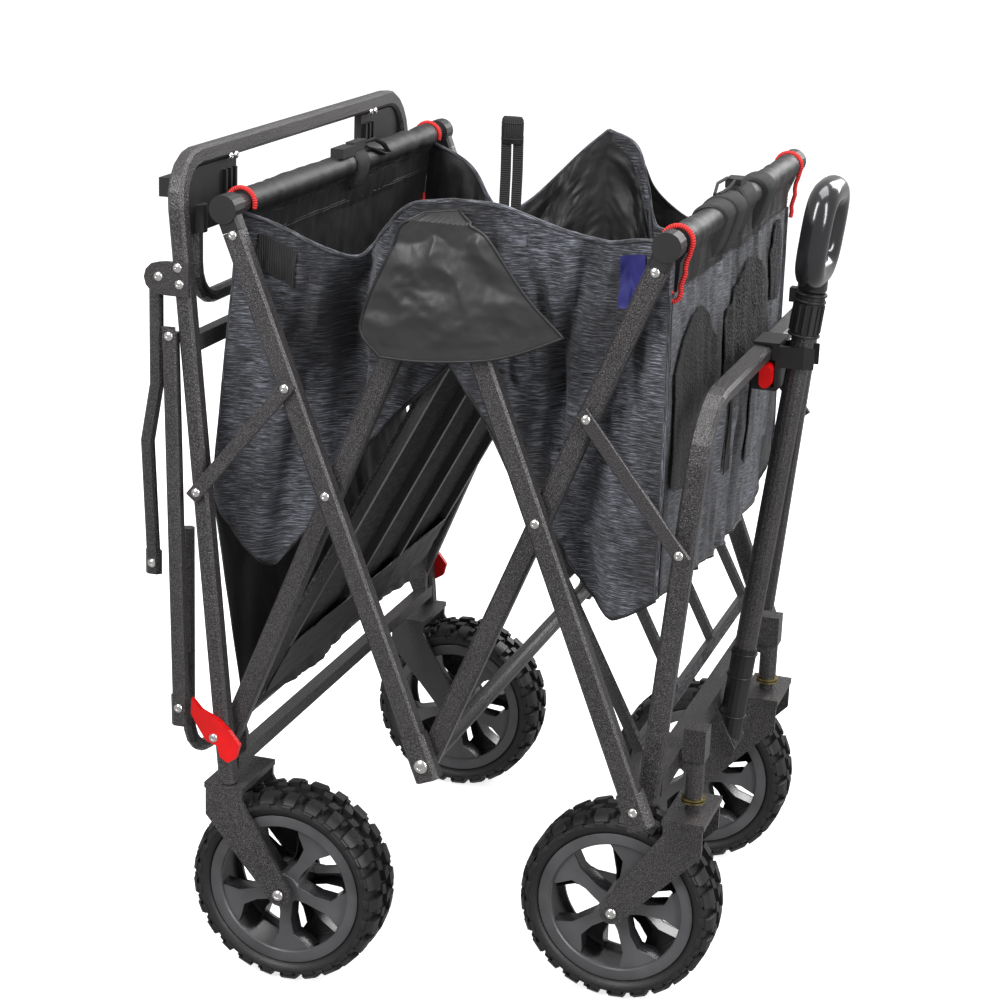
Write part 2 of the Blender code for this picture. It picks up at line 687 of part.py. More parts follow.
def caster_fork(name, side, look):
    """The swivelling fork, with its stem up to the housing."""
    y = side * CASTER_Y
    piece = fork("caster_fork_" + name, CASTER_X, CASTER_X - CASTER_TRAIL, y, WHEEL_HALF_WIDTH, look)
    stem = cylinder(
        piece.name + "_stem", (CASTER_X, y), 0.0075, FORK_TOP_Z - 0.002, FORK_TOP_Z + 0.0075, look, "z",
    )
    return combine(piece, stem)


# Pull handle -------------------------------------------------------------------------------------


def handle_point(along, side=0.0, forward=0.0):
    """A point at a distance along the pull handle from its pivot."""
    x, _, z = HANDLE_PIVOT
    return (
        x + along * sin(HANDLE_LEAN) + forward * cos(HANDLE_LEAN),
        side,
        z + along * cos(HANDLE_LEAN) - forward * sin(HANDLE_LEAN),
    )


def rod_along(name, start, end, radius, look, sides=16):
    path = [handle_point(start), handle_point(end)]
    return sweep(name, path, circle((0, 0), radius, sides), look, (0, 1, 0))


def pull_handle(steel, plastic, grip_look):
    x, _, z = HANDLE_PIVOT
    lug = cylinder("handle_sleeve", (x, z), 0.0115, -BARREL_HALF, BARREL_HALF, plastic)
    sleeve = combine(lug, rod_along("sleeve_shape", 0.004, SLEEVE_END, SLEEVE_RADIUS, plastic))
    tube = rod_along("handle_tube", SLEEVE_END + GAP, TUBE_END, HANDLE_TUBE_RADIUS, steel)
    cut(tube, rod_along("tube_bore", SLEEVE_END + 0.004, TUBE_END + 0.01, HANDLE_BORE, steel))
    collar = rod_along("handle_collar", COLLAR[0], COLLAR[1], COLLAR_RADIUS, plastic)
    cut(collar, rod_along("collar_bore", COLLAR[0] - 0.01, COLLAR[1] + 0.01, HANDLE_BORE, plastic))
    attach("handle", sleeve, tube, collar)
    slider = rod_along("handle_slider", SLEEVE_END + 0.006, GRIP_START - GAP, SLIDER_RADIUS, steel, 12)
    attach("grip", slider, grip(grip_look))


def grip(look):
    """The closed D-shaped grip: a short socket and one loop of thick tube."""
    low, high = GRIP_START + GRIP_RADIUS, GRIP_START + GRIP_HEIGHT - GRIP_RADIUS
    radius = GRIP_HALF_WIDTH * 0.62
    half = GRIP_HALF_WIDTH - GRIP_RADIUS
    loop = []
    corners = (((high, half), 0), ((high, -half), pi / 2), ((low, -half), pi), ((low, half), 3 * pi / 2))
    for (a, s), turn in corners:
        ca = a - radius if a == high else a + radius
        cs = s - radius if s > 0 else s + radius
        for i in range(5):
            angle = turn + pi / 2 * i / 4
            loop.append((ca + radius * cos(angle - pi / 2), cs + radius * cos(angle)))
    bm = bmesh.new()
    ring_count = len(loop)
    points = [Vector(handle_point(a, s)) for a, s in loop]
    rings = []
    forward = Vector(handle_point(0, 0, 1)) - Vector(handle_point(0))
    for i, here in enumerate(points):
        along = (points[(i + 1) % ring_count] - points[i - 1]).normalized()
        side = along.cross(forward).normalized()
        rings.append(
            [bm.verts.new(here + side * u + forward * v) for u, v in circle((0, 0), GRIP_RADIUS - 0.003, 12)],
        )
    for one, two in zip(rings, rings[1:] + rings[:1]):
        for i in range(12):
            j = (i + 1) % 12
            bm.faces.new((one[i], one[j], two[j], two[i]))
    ring = new_object("handle_grip", bm, look)
    socket = rod_along("grip_socket_shape", GRIP_START, GRIP_START + GRIP_RADIUS, 0.0145, look)
    return combine(ring, socket)


# Rear rack ---------------------------------------------------------------------------------------


def rear_rack(steel, plastic, red):
    """Two side bars with end caps, joined by a round-cornered loop low down. It hangs folded flat."""
    x, bottom, top = RACK_LOOP
    corners = [(x, -RACK_LOOP_Y, top), (x, -RACK_LOOP_Y, bottom)]
    corners += [(x, RACK_LOOP_Y, bottom), (x, RACK_LOOP_Y, top)]
    section = circle((0, 0), RACK_LOOP_RADIUS, 8)
    loop = sweep("rack_frame", rounded_path(corners, 0.045), section, steel, (1, 0, 0))
    hinge, foot = Vector(RACK_HINGE), Vector(RACK_FOOT)
    down = (foot - hinge).normalized()
    for name, side in SIDES.items():
        layer = side_span(side, RACK_LAYER)
        rod = bar(
            "rack_bar_shape_" + name, hinge - down * 0.004, foot + down * 0.012, layer, steel, 0.014, 0.002,
        )
        ear = bar(
            "rack_ear_shape_" + name, hinge - down * 0.010, hinge + down * 0.012,
            side_span(side, (OUTSIDE_REAR_TUBE, RACK_LAYER[1] - 0.0002)), steel, 0.0136, 0.0008,
        )
        tie = box(
            "rack_tie_shape_" + name,
            (x - 0.0045, side * RACK_LOOP_Y, 0.318),
            (x + 0.0065, side * (RACK_LAYER[0] + 0.002), 0.330),
            steel,
        )
        cap = bar(
            "rack_cap_shape_" + name, foot - down * 0.016, foot + down * 0.015,
            side_span(side, (RACK_LAYER[0] - 0.0005, RACK_LAYER[1] + 0.001)), plastic, 0.018, 0.004,
        )
        combine(loop, rod, ear, tie, cap, solver="MANIFOLD")
    attach("rear_rack", loop)
    for name, side in SIDES.items():
        attach("stay_arms", stay_arm(name, side, steel, plastic))
        attach("latch_" + name, latch(name, side, red))


def stay_arm(name, side, steel, plastic):
    """The bent arm outside the rack, from its bracket's pivot to its capped foot."""
    y = side * sum(STAY_LAYER) / 2
    top = (STAY_HINGE[0], STAY_HINGE[1] + 0.007)
    points = [(x, y, z) for x, z in (top, STAY_BEND, STAY_KNEE, STAY_FOOT)]
    thickness = STAY_LAYER[1] - STAY_LAYER[0]
    arm = sweep("stay_arm_" + name, points, rectangle(0.013, thickness, 0.002), steel, (1, 0, 0))
    cap = bar(
        "stay_cap_shape_" + name, (STAY_FOOT[0], STAY_FOOT[1] + 0.012), (STAY_FOOT[0], STAY_FOOT[1] - 0.012),
        side_span(side, (STAY_LAYER[0] - 0.0005, STAY_LAYER[1] + 0.0005)), plastic, 0.017, 0.004,
    )
    return combine(arm, cap)


def latch(name, side, look):
    """The red lever low on the upright, hooked behind the rack."""
    x, z = LATCH_PIVOT
    outer = REAR_UPRIGHT_Y + REAR_TUBE[1] / 2
    y = side_span(side, (outer + 0.0006, outer + 0.0060))
    outline = [(-0.023, 0.038), (-0.013, 0.027), (0.004, 0.020), (0.018, 0.008), (0.0275, -0.004)]
    outline += [(0.024, -0.018), (0.015, -0.024), (0.007, -0.019), (0.004, -0.008), (-0.008, -0.004)]
    outline += [(-0.016, 0.008), (-0.024, 0.022)]
    return prism("rack_latch_" + name, [(x + a, z + b) for a, b in outline], *y, look)


# Folding floor and basket ------------------------------------------------------------------------


def floor_point(sign, along, lift=0.0):
    """A point in XZ on the floor half at one end: sign is -1 at the rear and +1 at the front. Lift is
    towards the basket's inside."""
    x, z = sign * FLOOR_HINGE[0], FLOOR_HINGE[1]
    return (
        x - sign * along * sin(FLOOR_LEAN) + sign * lift * cos(FLOOR_LEAN),
        z + along * cos(FLOOR_LEAN) + lift * sin(FLOOR_LEAN),
    )


def floor_half(end, sign, steel, board_look):
    """One hinged floor half: a ladder of square tubes with the stiff board on its inner face."""
    half = FLOOR_TUBE / 2

    def slab(name, start, end_, low, high, y0, y1, look):
        corners = ((start, low), (end_, low), (end_, high), (start, high))
        outline = [floor_point(sign, a, b) for a, b in corners]
        return prism(name, outline, y0, y1, look)

    name = end + "_floor"
    ladder = slab(name, -half, half, -half, half, -FLOOR_HALF_WIDTH, FLOOR_HALF_WIDTH, steel)
    top = FLOOR_LENGTH - 0.014
    wide = FLOOR_HALF_WIDTH
    combine(ladder, slab(name + "_top", top, top + FLOOR_TUBE, -half, half, -wide, wide, steel))
    for i in range(4):
        y = (i - 1.5) * 2 * (FLOOR_HALF_WIDTH - half) / 3
        thin = half - 0.0004
        combine(ladder, slab(f"{name}_rail_{i}", 0.0, top + half, -thin, thin, y - half, y + half, steel))
    board = slab(
        name + "_board", BOARD_START[end], FLOOR_LENGTH, half - 0.001, half + BOARD_THICKNESS,
        -0.236, 0.236, board_look,
    )
    attach(name, combine(ladder, board))


def side_panel(name, side, look):
    """A side wall of the basket, with the floor's fold rising under its middle."""
    half = [(SIDE_HALF_LENGTH, 0.500), (SIDE_HALF_LENGTH, 0.720), (0.1100, 0.705)]
    low = [(0.0, 0.668), (SIDE_HALF_LENGTH, 0.447)]
    outline = [(-x, z) for x, z in half] + [(0.0, 0.755)] + [(x, z) for x, z in reversed(half)]
    outline += [(low[1][0], low[1][1]), low[0], (-low[1][0], low[1][1])]
    return prism("side_panel_" + name, outline, *side_span(side, SIDE_Y), look)


def peak_flap(name, side, look):
    outline = [(-0.012, 0.798), (-0.045, 0.745), (-0.076, 0.650), (0.042, 0.652), (0.112, 0.690)]
    outline += [(0.060, 0.755), (0.014, 0.800)]
    return prism("peak_flap_" + name, outline, *side_span(side, FLAP_Y), look)


def basket(fabric, black, webbing):
    wall = PANEL_HALF_WIDTH
    for end, (low, high) in (("rear", REAR_PANEL_X), ("front", FRONT_PANEL_X)):
        attach(end + "_basket", box(end + "_panel", (low, -wall, 0.430), (high, wall, 0.752), fabric))
    for name, side in SIDES.items():
        attach("middle_basket", side_panel(name, side, fabric), peak_flap(name, side, black))
    strap = box("lift_strap", (STRAP_X - 0.010, -0.002, 0.672), (STRAP_X + 0.010, 0.002, 0.822), webbing)
    hand_loop = box(
        "strap_loop_shape", (STRAP_X - 0.0115, -0.006, 0.815), (STRAP_X + 0.0115, 0.006, 0.841), webbing,
    )
    attach("middle_basket", combine(strap, hand_loop))


def main():
    clear_scene()
    steel = material("gunmetal_steel", (0.075, 0.073, 0.075), 0.42, 0.75)
    plastic = material("black_plastic", (0.022, 0.022, 0.024), 0.5)
    rim_look = material("charcoal_plastic", (0.085, 0.085, 0.09), 0.45)
    rubber = material("tyre_rubber", (0.02, 0.02, 0.021), 0.7)
    red = material("red_plastic", (0.75, 0.01, 0.012), 0.35)
    grip_look = material("grip_plastic", (0.03, 0.03, 0.032), 0.25)
    fabric = material("heather_fabric", (0.085, 0.095, 0.115), 0.9)
    black = material("black_fabric", (0.02, 0.02, 0.021), 0.75)
    webbing = material("webbing", (0.018, 0.018, 0.018), 0.85)
    make_bodies()
    side_bars(steel, plastic)
    rods(steel)
    links(steel)
    rear_frame(steel, plastic)
    rear_rack(steel, plastic, red)
    front_frame(steel, plastic, red)
    wheels(rubber, rim_look)
    pull_handle(steel, plastic, grip_look)
    for end, sign in (("rear", -1), ("front", 1)):
        floor_half(end, sign, steel, black)
    basket(fabric, black, webbing)
    EMPTIES["rear_frame"].location.x = MIDDLE_SHIFT


main()
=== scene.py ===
"""The looks of a collapsible wagon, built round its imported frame. Metres, in the part's own frame."""

import json
from math import cos, pi, radians, sin

import bmesh
import bpy
import numpy as np
from mathutils import Matrix, Vector, noise

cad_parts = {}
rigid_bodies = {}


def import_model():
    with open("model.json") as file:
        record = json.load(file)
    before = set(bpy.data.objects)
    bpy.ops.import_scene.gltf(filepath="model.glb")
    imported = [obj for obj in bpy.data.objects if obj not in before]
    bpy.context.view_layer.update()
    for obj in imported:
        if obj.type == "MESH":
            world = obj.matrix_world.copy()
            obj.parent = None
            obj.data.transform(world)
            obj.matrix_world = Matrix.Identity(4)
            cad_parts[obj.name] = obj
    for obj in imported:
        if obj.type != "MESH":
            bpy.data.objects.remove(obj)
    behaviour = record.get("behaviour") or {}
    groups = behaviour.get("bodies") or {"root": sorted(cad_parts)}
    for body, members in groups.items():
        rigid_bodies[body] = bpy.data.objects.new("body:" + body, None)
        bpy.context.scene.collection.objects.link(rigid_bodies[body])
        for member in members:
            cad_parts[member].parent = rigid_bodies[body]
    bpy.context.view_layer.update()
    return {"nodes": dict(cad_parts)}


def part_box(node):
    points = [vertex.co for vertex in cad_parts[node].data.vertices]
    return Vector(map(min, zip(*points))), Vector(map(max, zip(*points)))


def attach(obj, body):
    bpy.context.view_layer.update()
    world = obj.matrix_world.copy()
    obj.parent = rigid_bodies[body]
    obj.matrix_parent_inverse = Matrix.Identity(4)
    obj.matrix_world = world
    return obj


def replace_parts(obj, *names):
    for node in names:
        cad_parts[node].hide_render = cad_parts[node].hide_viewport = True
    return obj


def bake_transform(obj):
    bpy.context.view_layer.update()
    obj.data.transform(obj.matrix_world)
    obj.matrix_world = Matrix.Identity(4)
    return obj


SIDES = {"near": -1, "far": 1}
MIDDLE = {"x": 0.0}  # X of the middle joint in the part's frame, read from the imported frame
WALL_Y = 0.263  # the cloth walls stay inside the bars
CLOTH = 0.0016
END_HALF, END_TOP, CORNER_Y = 0.262, 0.764, 0.2615  # the end walls' half width, top and corners
SIGNS = {"rear": -1, "front": 1}
BARS = {"rear": "bars_a", "front": "bars_c"}  # the bars that carry each end's top rod

# Rods, bars and pins, as X from the middle joint and Z
ROD = (0.2064, 0.7767)
ROD_RADIUS = 0.009
SLEEVE_DROP = 0.045
SLEEVE_REACH = {"front": 0.247, "rear": 0.256}
SLEEVE_SHIFT = 0.0012  # how far outward the cloth sits on its rod
BAND_RADIUS = ROD_RADIUS + 0.0044  # of the webbing over a sleeve

RIVET = 0.0046
RIVETS = {  # body: (X, Z, distance of the face from the middle plane)
    "bars_a": ((-0.197, 0.7535, 0.3005), (-0.1422, 0.6165, 0.3058), (-0.1024, 0.5162, 0.3005)),
    "bars_c": ((0.197, 0.7535, 0.2825), (0.1422, 0.6156, 0.288)),
    "bars_d": ((0.1024, 0.5162, 0.3005), (0.209, 0.25, 0.3017)),
    "rear_frame": ((-0.2317, 0.5052, 0.3058), (-0.2505, 0.7191, 0.304), (-0.2488, 0.7035, 0.304),
                   (-0.2702, 0.7094, 0.304), (-0.2129, 0.2584, 0.3068)),
    "front_frame": ((0.2345, 0.4997, 0.288),),
    "rear_rack": ((-0.2594, 0.6538, 0.305), (-0.2509, 0.2828, 0.3055)),
    "stay_arms": ((-0.285, 0.4235, 0.2913),),
}
MIDDLE_BOLT = (0.0, 0.2615, 0.3017)

# Wheels
WHEEL_RADIUS, RIM_RADIUS = 0.1, 0.0787
AXLE_REACH = 0.0412  # from the middle of a wheel to the end of its axle
REAR_AXLE = (-0.1453, 0.2615)
FRONT_AXLE = (0.172, 0.175)
LUGS = 25
RIM_HALF = 0.0272
BLADES, BLADE_TIP = 5, 0.069
STEM = (0.238, 0.175)  # X and Y of a caster's stem

FLOOR_HINGE, FLOOR_LEAN = (0.194, 0.288), radians(27.7)

# Pull handle: pivot, lean, and distances along it
HANDLE_PIVOT = (0.2338, 0.0, 0.211)
HANDLE_LEAN = radians(6.2)
GRIP = (0.486, 0.116, 0.06, 0.0145)  # start, height, half width, radius of its section
GRIP_SQUARENESS = 0.62
COLLAR = (0.4405, 0.485, 0.0145)  # start, end, radius

# Studio: each light is its name, place, width, height and power
LIGHTS = (
    ("key", (-0.9, -2.3, 2.5), 0.7, 2.4, 85), ("right", (2.5, -1.3, 1.7), 0.6, 2.4, 68),
    ("top", (0.3, 0.3, 3.0), 1.8, 1.6, 50), ("back", (1.0, 2.5, 1.9), 1.2, 1.8, 45),
)
LIGHT_TARGET = (0, 0, 0.4)
CAMERA_AZIMUTH, CAMERA_ELEVATION, CAMERA_ROLL = radians(17.43), radians(16.82), radians(2.13)
CAMERA_DISTANCE, CAMERA_TARGET, LENS = 2.4577, (-0.0256, 0, 0.4397), 84.36


def turns(count):
    """Angles evenly round a circle."""
    return [2 * pi * k / count for k in range(count)]


def at(x, y, z):
    """A point given by its X from the middle joint."""
    return Vector((x + MIDDLE["x"], y, z))


# --- Materials ---


class Nodes:
    """A short way to add nodes to one material."""

    def __init__(self, name):
        self.material = bpy.data.materials.new(name)
        self.material.use_nodes = True
        self.tree = self.material.node_tree
        self.shader = self.tree.nodes["Principled BSDF"]

    def add(self, kind, **inputs):
        node = self.tree.nodes.new("ShaderNode" + kind)
        for key, value in inputs.items():
            self.put(node, key, value)
        return node

    def put(self, node, key, value):
        """Links or sets an input, given by its name or number."""
        socket = node.inputs[key if isinstance(key, int) else key.replace("_", " ")]
        if isinstance(value, bpy.types.NodeSocket):
            self.tree.links.new(value, socket)
        else:
            socket.default_value = value

    def coordinates(self, scale=(1, 1, 1), source="Object"):
        place = self.add("TexCoord").outputs[source]
        return self.add("Mapping", Scale=scale, Vector=place).outputs[0]

    def noise(self, vector, scale, detail=2.0, roughness=0.5):
        node = self.add("TexNoise", Vector=vector, Scale=scale, Detail=detail, Roughness=roughness)
        return node.outputs["Fac"]

    def weft(self, across, along, detail, roughness):
        """Noise stretched over a cloth's UVs."""
        return self.noise(self.coordinates((across, along, 1), "UV"), 1.0, detail, roughness)

    def ramp(self, value, stops):
        node = self.add("ValToRGB", Fac=value)
        ramp = node.color_ramp
        while len(ramp.elements) < len(stops):
            ramp.elements.new(0.5)
        for element, (position, color) in zip(ramp.elements, stops):
            element.position = position
            element.color = (*color, 1) if len(color) == 3 else color
        return node.outputs["Color"]

    def tints(self, value, color, dark, light, low=0.3, high=0.7):
        """A colour that goes from a darker to a lighter shade of itself."""
        shades = (tuple(min(1.0, c * share) for c in color) for share in (dark, light))
        return self.ramp(value, list(zip((low, high), shades)))

    def math(self, operation, a, b=0.0):
        node = self.add("Math")
        node.operation = operation
        self.put(node, 0, a)
        self.put(node, 1, b)
        return node.outputs[0]

    def spread(self, value, amount, middle):
        """A number that varies by an amount about a middle value."""
        return self.math("ADD", self.math("MULTIPLY", value, amount), middle - amount / 2)

    def mix(self, factor, a, b, blend="MIX"):
        node = self.tree.nodes.new("ShaderNodeMix")
        node.data_type, node.blend_type = "RGBA", blend
        for index, value in ((0, factor), (6, a), (7, b)):
            self.put(node, index, (*value, 1) if isinstance(value, tuple) else value)
        return node.outputs[2]

    def bump(self, height, distance, strength=1.0, normal=None):
        node = self.add("Bump", Height=height, Distance=distance, Strength=strength)
        if normal:
            self.put(node, "Normal", normal)
        return node.outputs[0]

    def finish(self, **inputs):
        for key, value in inputs.items():
            self.put(self.shader, key, value)
        return self.material


def steel_look():
    """Gunmetal powder coat with a hammered surface, its sparkle painted as light specks in its colour."""
    n = Nodes("gunmetal_hammered")
    here = n.coordinates()
    cells = n.add("TexVoronoi", Vector=here, Scale=620.0)
    cells.feature = "SMOOTH_F1"
    fine = n.noise(here, 1500.0, 3.0)
    height = n.math("ADD", cells.outputs["Distance"], n.math("MULTIPLY", fine, 0.6))
    worn = n.noise(here, 12.0, 4.0)
    color = n.ramp(worn, [(0.3, (0.02, 0.018, 0.019)), (0.7, (0.036, 0.033, 0.035))])
    # Painted glints: light specks mixed into the colour.
    painted_glint = n.ramp(fine, [(0.5, (0, 0, 0)), (0.7, (1, 1, 1))])
    color = n.mix(n.math("MULTIPLY", painted_glint, 0.6), color, (0.3, 0.29, 0.29))
    rough = n.spread(fine, 0.26, 0.3)
    return n.finish(Base_Color=color, Metallic=0.25, Roughness=rough, Normal=n.bump(height, 0.0006, 0.75))


def plastic_look(name, color, roughness, grain=900.0, depth=0.00012, coat=0.0):
    """Moulded plastic with a fine grain and slight wear in its shade."""
    n = Nodes(name)
    here = n.coordinates()
    return n.finish(Base_Color=n.tints(n.noise(here, 22.0, 5.0), color, 0.75, 1.3),
                    Roughness=n.spread(n.noise(here, 60.0, 4.0), 0.12, roughness),
                    Normal=n.bump(n.noise(here, grain, 2.0), depth), Coat_Weight=coat)


def metal_look(name, color, roughness):
    """Plated metal with a slightly uneven shine."""
    n = Nodes(name)
    here = n.coordinates()
    return n.finish(Base_Color=n.tints(n.noise(here, 180.0, 4.0), color, 0.75, 1.0), Metallic=1.0,
                    Roughness=n.spread(n.noise(here, 300.0, 3.0), 0.2, roughness),
                    Normal=n.bump(n.noise(here, 700.0, 2.0), 0.00015))


def heather_look():
    """Blue-grey woven cloth with short dark and light streaks along its weft, and painted shade in broad
    random patches standing in for the shade of its creases.
    """
    n = Nodes("heather_weave")
    streak = n.weft(60, 1000, 3.0, 0.6)
    fine = n.weft(200, 2100, 2.0, 0.5)
    both = n.math("ADD", n.math("MULTIPLY", streak, 0.72), n.math("MULTIPLY", fine, 0.28))
    stops = [(0.36, (0.005, 0.005, 0.007)), (0.45, (0.026, 0.027, 0.032)), (0.53, (0.085, 0.088, 0.103)),
             (0.62, (0.27, 0.285, 0.325))]
    # Painted shade: broad random patches multiplied into the colour in place of crease shadows.
    painted_crease_shade = n.weft(11, 7, 3.0, 0.5)
    shade = n.ramp(painted_crease_shade, [(0.38, (0.34, 0.33, 0.33)), (0.6, (1.05, 1.05, 1.07))])
    color = n.mix(1.0, n.ramp(both, stops), shade, "MULTIPLY")
    weave = n.add("TexWave", Vector=n.coordinates((1, 1, 1), "UV"), Scale=420.0, Distortion=1.2)
    weave.bands_direction = "Y"
    height = n.math("ADD", both, n.math("MULTIPLY", weave.outputs["Fac"], 0.3))
    return n.finish(Base_Color=color, Roughness=0.86, Normal=n.bump(height, 0.0005, 0.8), Sheen_Weight=0.12)


def board_look():
    """Dark woven cloth over the floor boards, which have no UVs of their own."""
    n = Nodes("board_cover")
    streak = n.noise(n.coordinates((650, 70, 650)), 1.0, 3.0, 0.6)
    stops = [(0.36, (0.006, 0.006, 0.007)), (0.52, (0.026, 0.026, 0.029)), (0.66, (0.075, 0.077, 0.085))]
    color = n.ramp(streak, stops)
    return n.finish(Base_Color=color, Roughness=0.88, Normal=n.bump(streak, 0.0004, 0.7))


def nylon_look(name, color, roughness, crease=0.0022):
    """Thin black coated cloth with soft creases."""
    n = Nodes(name)
    uv = n.coordinates((1, 1, 1), "UV")
    soft = n.weft(17, 11, 4.0, 0.55)
    weave = n.add("TexChecker", Vector=uv, Scale=900.0, Color1=(0, 0, 0, 1), Color2=(1, 1, 1, 1))
    big = n.bump(soft, crease * 2, 0.8)
    # The colour follows the crease noise that also drives the bump: painted shade in the hollows, painted
    # light on the ridges.
    return n.finish(Base_Color=n.tints(soft, color, 0.85, 1.15),
                    Roughness=n.spread(n.noise(uv, 40.0, 3.0), 0.16, roughness),
                    Normal=n.bump(weave.outputs["Fac"], 0.00008, 0.5, big))


def ribbed_look(name, color):
    """Woven webbing with fine ribs across it."""
    n = Nodes(name)
    wave = n.add("TexWave", Vector=n.coordinates((1, 1, 1), "UV"), Scale=900.0 / 6.3, Distortion=0.6)
    ribs = wave.outputs["Fac"]
    return n.finish(Base_Color=n.tints(ribs, color, 0.6, 1.5, 0.2, 0.8), Roughness=0.8,
                    Normal=n.bump(ribs, 0.0006, 0.9))


def net_look():
    """Black net: a grid of fine strands with darker holes."""
    n = Nodes("pocket_net")
    cells = n.add("TexVoronoi", Vector=n.coordinates((1, 1, 1), "UV"), Scale=330.0)
    shade = n.ramp(cells.outputs["Distance"], [(0.25, (0.002, 0.002, 0.002)), (0.5, (0.017, 0.017, 0.018))])
    return n.finish(Base_Color=shade, Roughness=0.7, Normal=n.bump(cells.outputs["Distance"], 0.0012, 1.0))


LOOK = {}


def make_looks():
    """Every look by the name the pieces use."""
    LOOK.update(
        steel=steel_look(),
        plastic=plastic_look("black_moulded", (0.011, 0.011, 0.012), 0.5),
        rim=plastic_look("charcoal_moulded", (0.072, 0.07, 0.074), 0.36),
        # A darker copy of the rim plastic for the deep webs inside the rim: painted shade in the recess.
        rim_inner=plastic_look("charcoal_gloss_recess_shade", (0.022, 0.022, 0.024), 0.2, depth=0.00004),
        red=plastic_look("red_moulded", (0.68, 0.002, 0.003), 0.34),
        red_cloth=ribbed_look("red_binding", (0.62, 0.02, 0.018)),
        grip=plastic_look("grip_glossy", (0.016, 0.016, 0.018), 0.18, depth=0.00004, coat=0.5),
        rubber=plastic_look("tyre_black", (0.011, 0.011, 0.0115), 0.5, 420.0, 0.0003),
        zinc=metal_look("zinc_plated", (0.86, 0.85, 0.83), 0.24),
        brass=metal_look("brass_plated", (0.42, 0.33, 0.14), 0.34),
        fabric=heather_look(),
        board_cloth=board_look(),
        black_cloth=nylon_look("black_nylon", (0.009, 0.009, 0.01), 0.5),
        flap_cloth=nylon_look("flap_nylon", (0.024, 0.023, 0.023), 0.46, 0.0028),
        webbing=ribbed_look("webbing_black", (0.016, 0.016, 0.016)),
        net=net_look(),
        navy=plastic_look("navy_patch", (0.02, 0.02, 0.16), 0.6),
    )


# --- Mesh building ---


def place(name, data):
    """A new object in the scene."""
    obj = bpy.data.objects.new(name, data)
    bpy.context.scene.collection.objects.link(obj)
    return obj


class Shape:
    """Closed pieces of mesh gathered into one object, each with its own look."""

    def __init__(self, *looks):
        self.looks, self.points, self.faces, self.index, self.uvs = looks, [], [], [], []

    def add(self, points, faces, look=0, uvs=None):
        first = len(self.points)
        self.points += [Vector(p) for p in points]
        self.uvs += uvs if uvs else [(p[0] + p[1], p[2]) for p in points]
        self.faces += [[first + i for i in face] for face in faces]
        self.index += look if isinstance(look, list) else [look] * len(faces)
        return self

    def rings(self, rings, look=0, closed=False, uvs=None):
        """Joins rings of equal length into a tube, closed on itself or capped."""
        n, count = len(rings[0]), len(rings)
        faces = []
        for i in range(count if closed else count - 1):
            a, b = i * n, (i + 1) % count * n
            faces += [[a + j, a + (j + 1) % n, b + (j + 1) % n, b + j] for j in range(n)]
        if not closed:
            faces += [list(range(n))[::-1], [(count - 1) * n + j for j in range(n)]]
        return self.add([p for ring in rings for p in ring], faces, look, uvs)

    def tube(self, path, radius, sides=10, look=0, closed=False, flat=1.0):
        """A round tube along a path. flat squeezes its section."""
        path = [Vector(p) for p in path]
        n = len(path)
        rings, up, uvs, run = [], None, [], 0.0
        for i, here in enumerate(path):
            before = path[i - 1] if i or closed else here
            after = path[(i + 1) % n] if i < n - 1 or closed else here
            along = (after - before).normalized()
            if up is None:
                up = along.orthogonal().normalized()
            up = (up - along * up.dot(along)).normalized()
            side = along.cross(up)
            r = radius[i] if isinstance(radius, (list, tuple)) else radius
            turn = turns(sides)
            rings.append([here + up * r * cos(a) + side * r * flat * sin(a) for a in turn])
            run += (here - path[i - 1]).length if i else 0
            uvs += [(run, r * a) for a in turn]
        return self.rings(rings, look, closed, uvs=uvs)

    def lathe(self, profile, center, axis, sides=24, look=0, closed=False):
        """Turns (radius, height) points about an axis. An open profile is capped at both ends."""
        axis = Vector(axis).normalized()
        u = axis.orthogonal().normalized()
        v = axis.cross(u)
        rings = []
        for r, h in profile:
            r = max(r, 1e-5)
            rings.append([Vector(center) + axis * h + (u * cos(a) + v * sin(a)) * r for a in turns(sides)])
        return self.rings(rings, look, closed)

    def block(self, low, high, look=0):
        """A box between two opposite corners."""
        (a, b, c), (d, e, f) = low, high
        points = [(a, b, c), (d, b, c), (d, e, c), (a, e, c), (a, b, f), (d, b, f), (d, e, f), (a, e, f)]
        faces = [[3, 2, 1, 0], [4, 5, 6, 7], [0, 1, 5, 4], [1, 2, 6, 5], [2, 3, 7, 6], [3, 0, 4, 7]]
        return self.add(points, faces, look)

    def build(self, name, body=None, slot=None, smooth=40):
        """Makes the object and rides it on a body. The slot argument is not used."""
        mesh = bpy.data.meshes.new(name)
        mesh.from_pydata([tuple(p) for p in self.points], [], self.faces)
        layer = mesh.uv_layers.new(name="metres")
        for loop in mesh.loops:
            layer.data[loop.index].uv = self.uvs[loop.vertex_index]
        for look in self.looks:
            mesh.materials.append(LOOK[look])
        mesh.polygons.foreach_set("material_index", self.index)
        mesh.polygons.foreach_set("use_smooth", [True] * len(mesh.polygons))
        bm = bmesh.new()
        bm.from_mesh(mesh)
        bmesh.ops.recalc_face_normals(bm, faces=bm.faces)
        bm.to_mesh(mesh)
        bm.free()
        mesh.set_sharp_from_angle(angle=radians(smooth))
        obj = place(name, mesh)
        if body:
            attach(obj, body)
        return obj


def run_along(points):
    """The given points as an array, and how far along their line each one is."""
    p = np.array(points, float)
    return p, np.concatenate([[0], np.cumsum(np.linalg.norm(np.diff(p, axis=0), axis=1))])


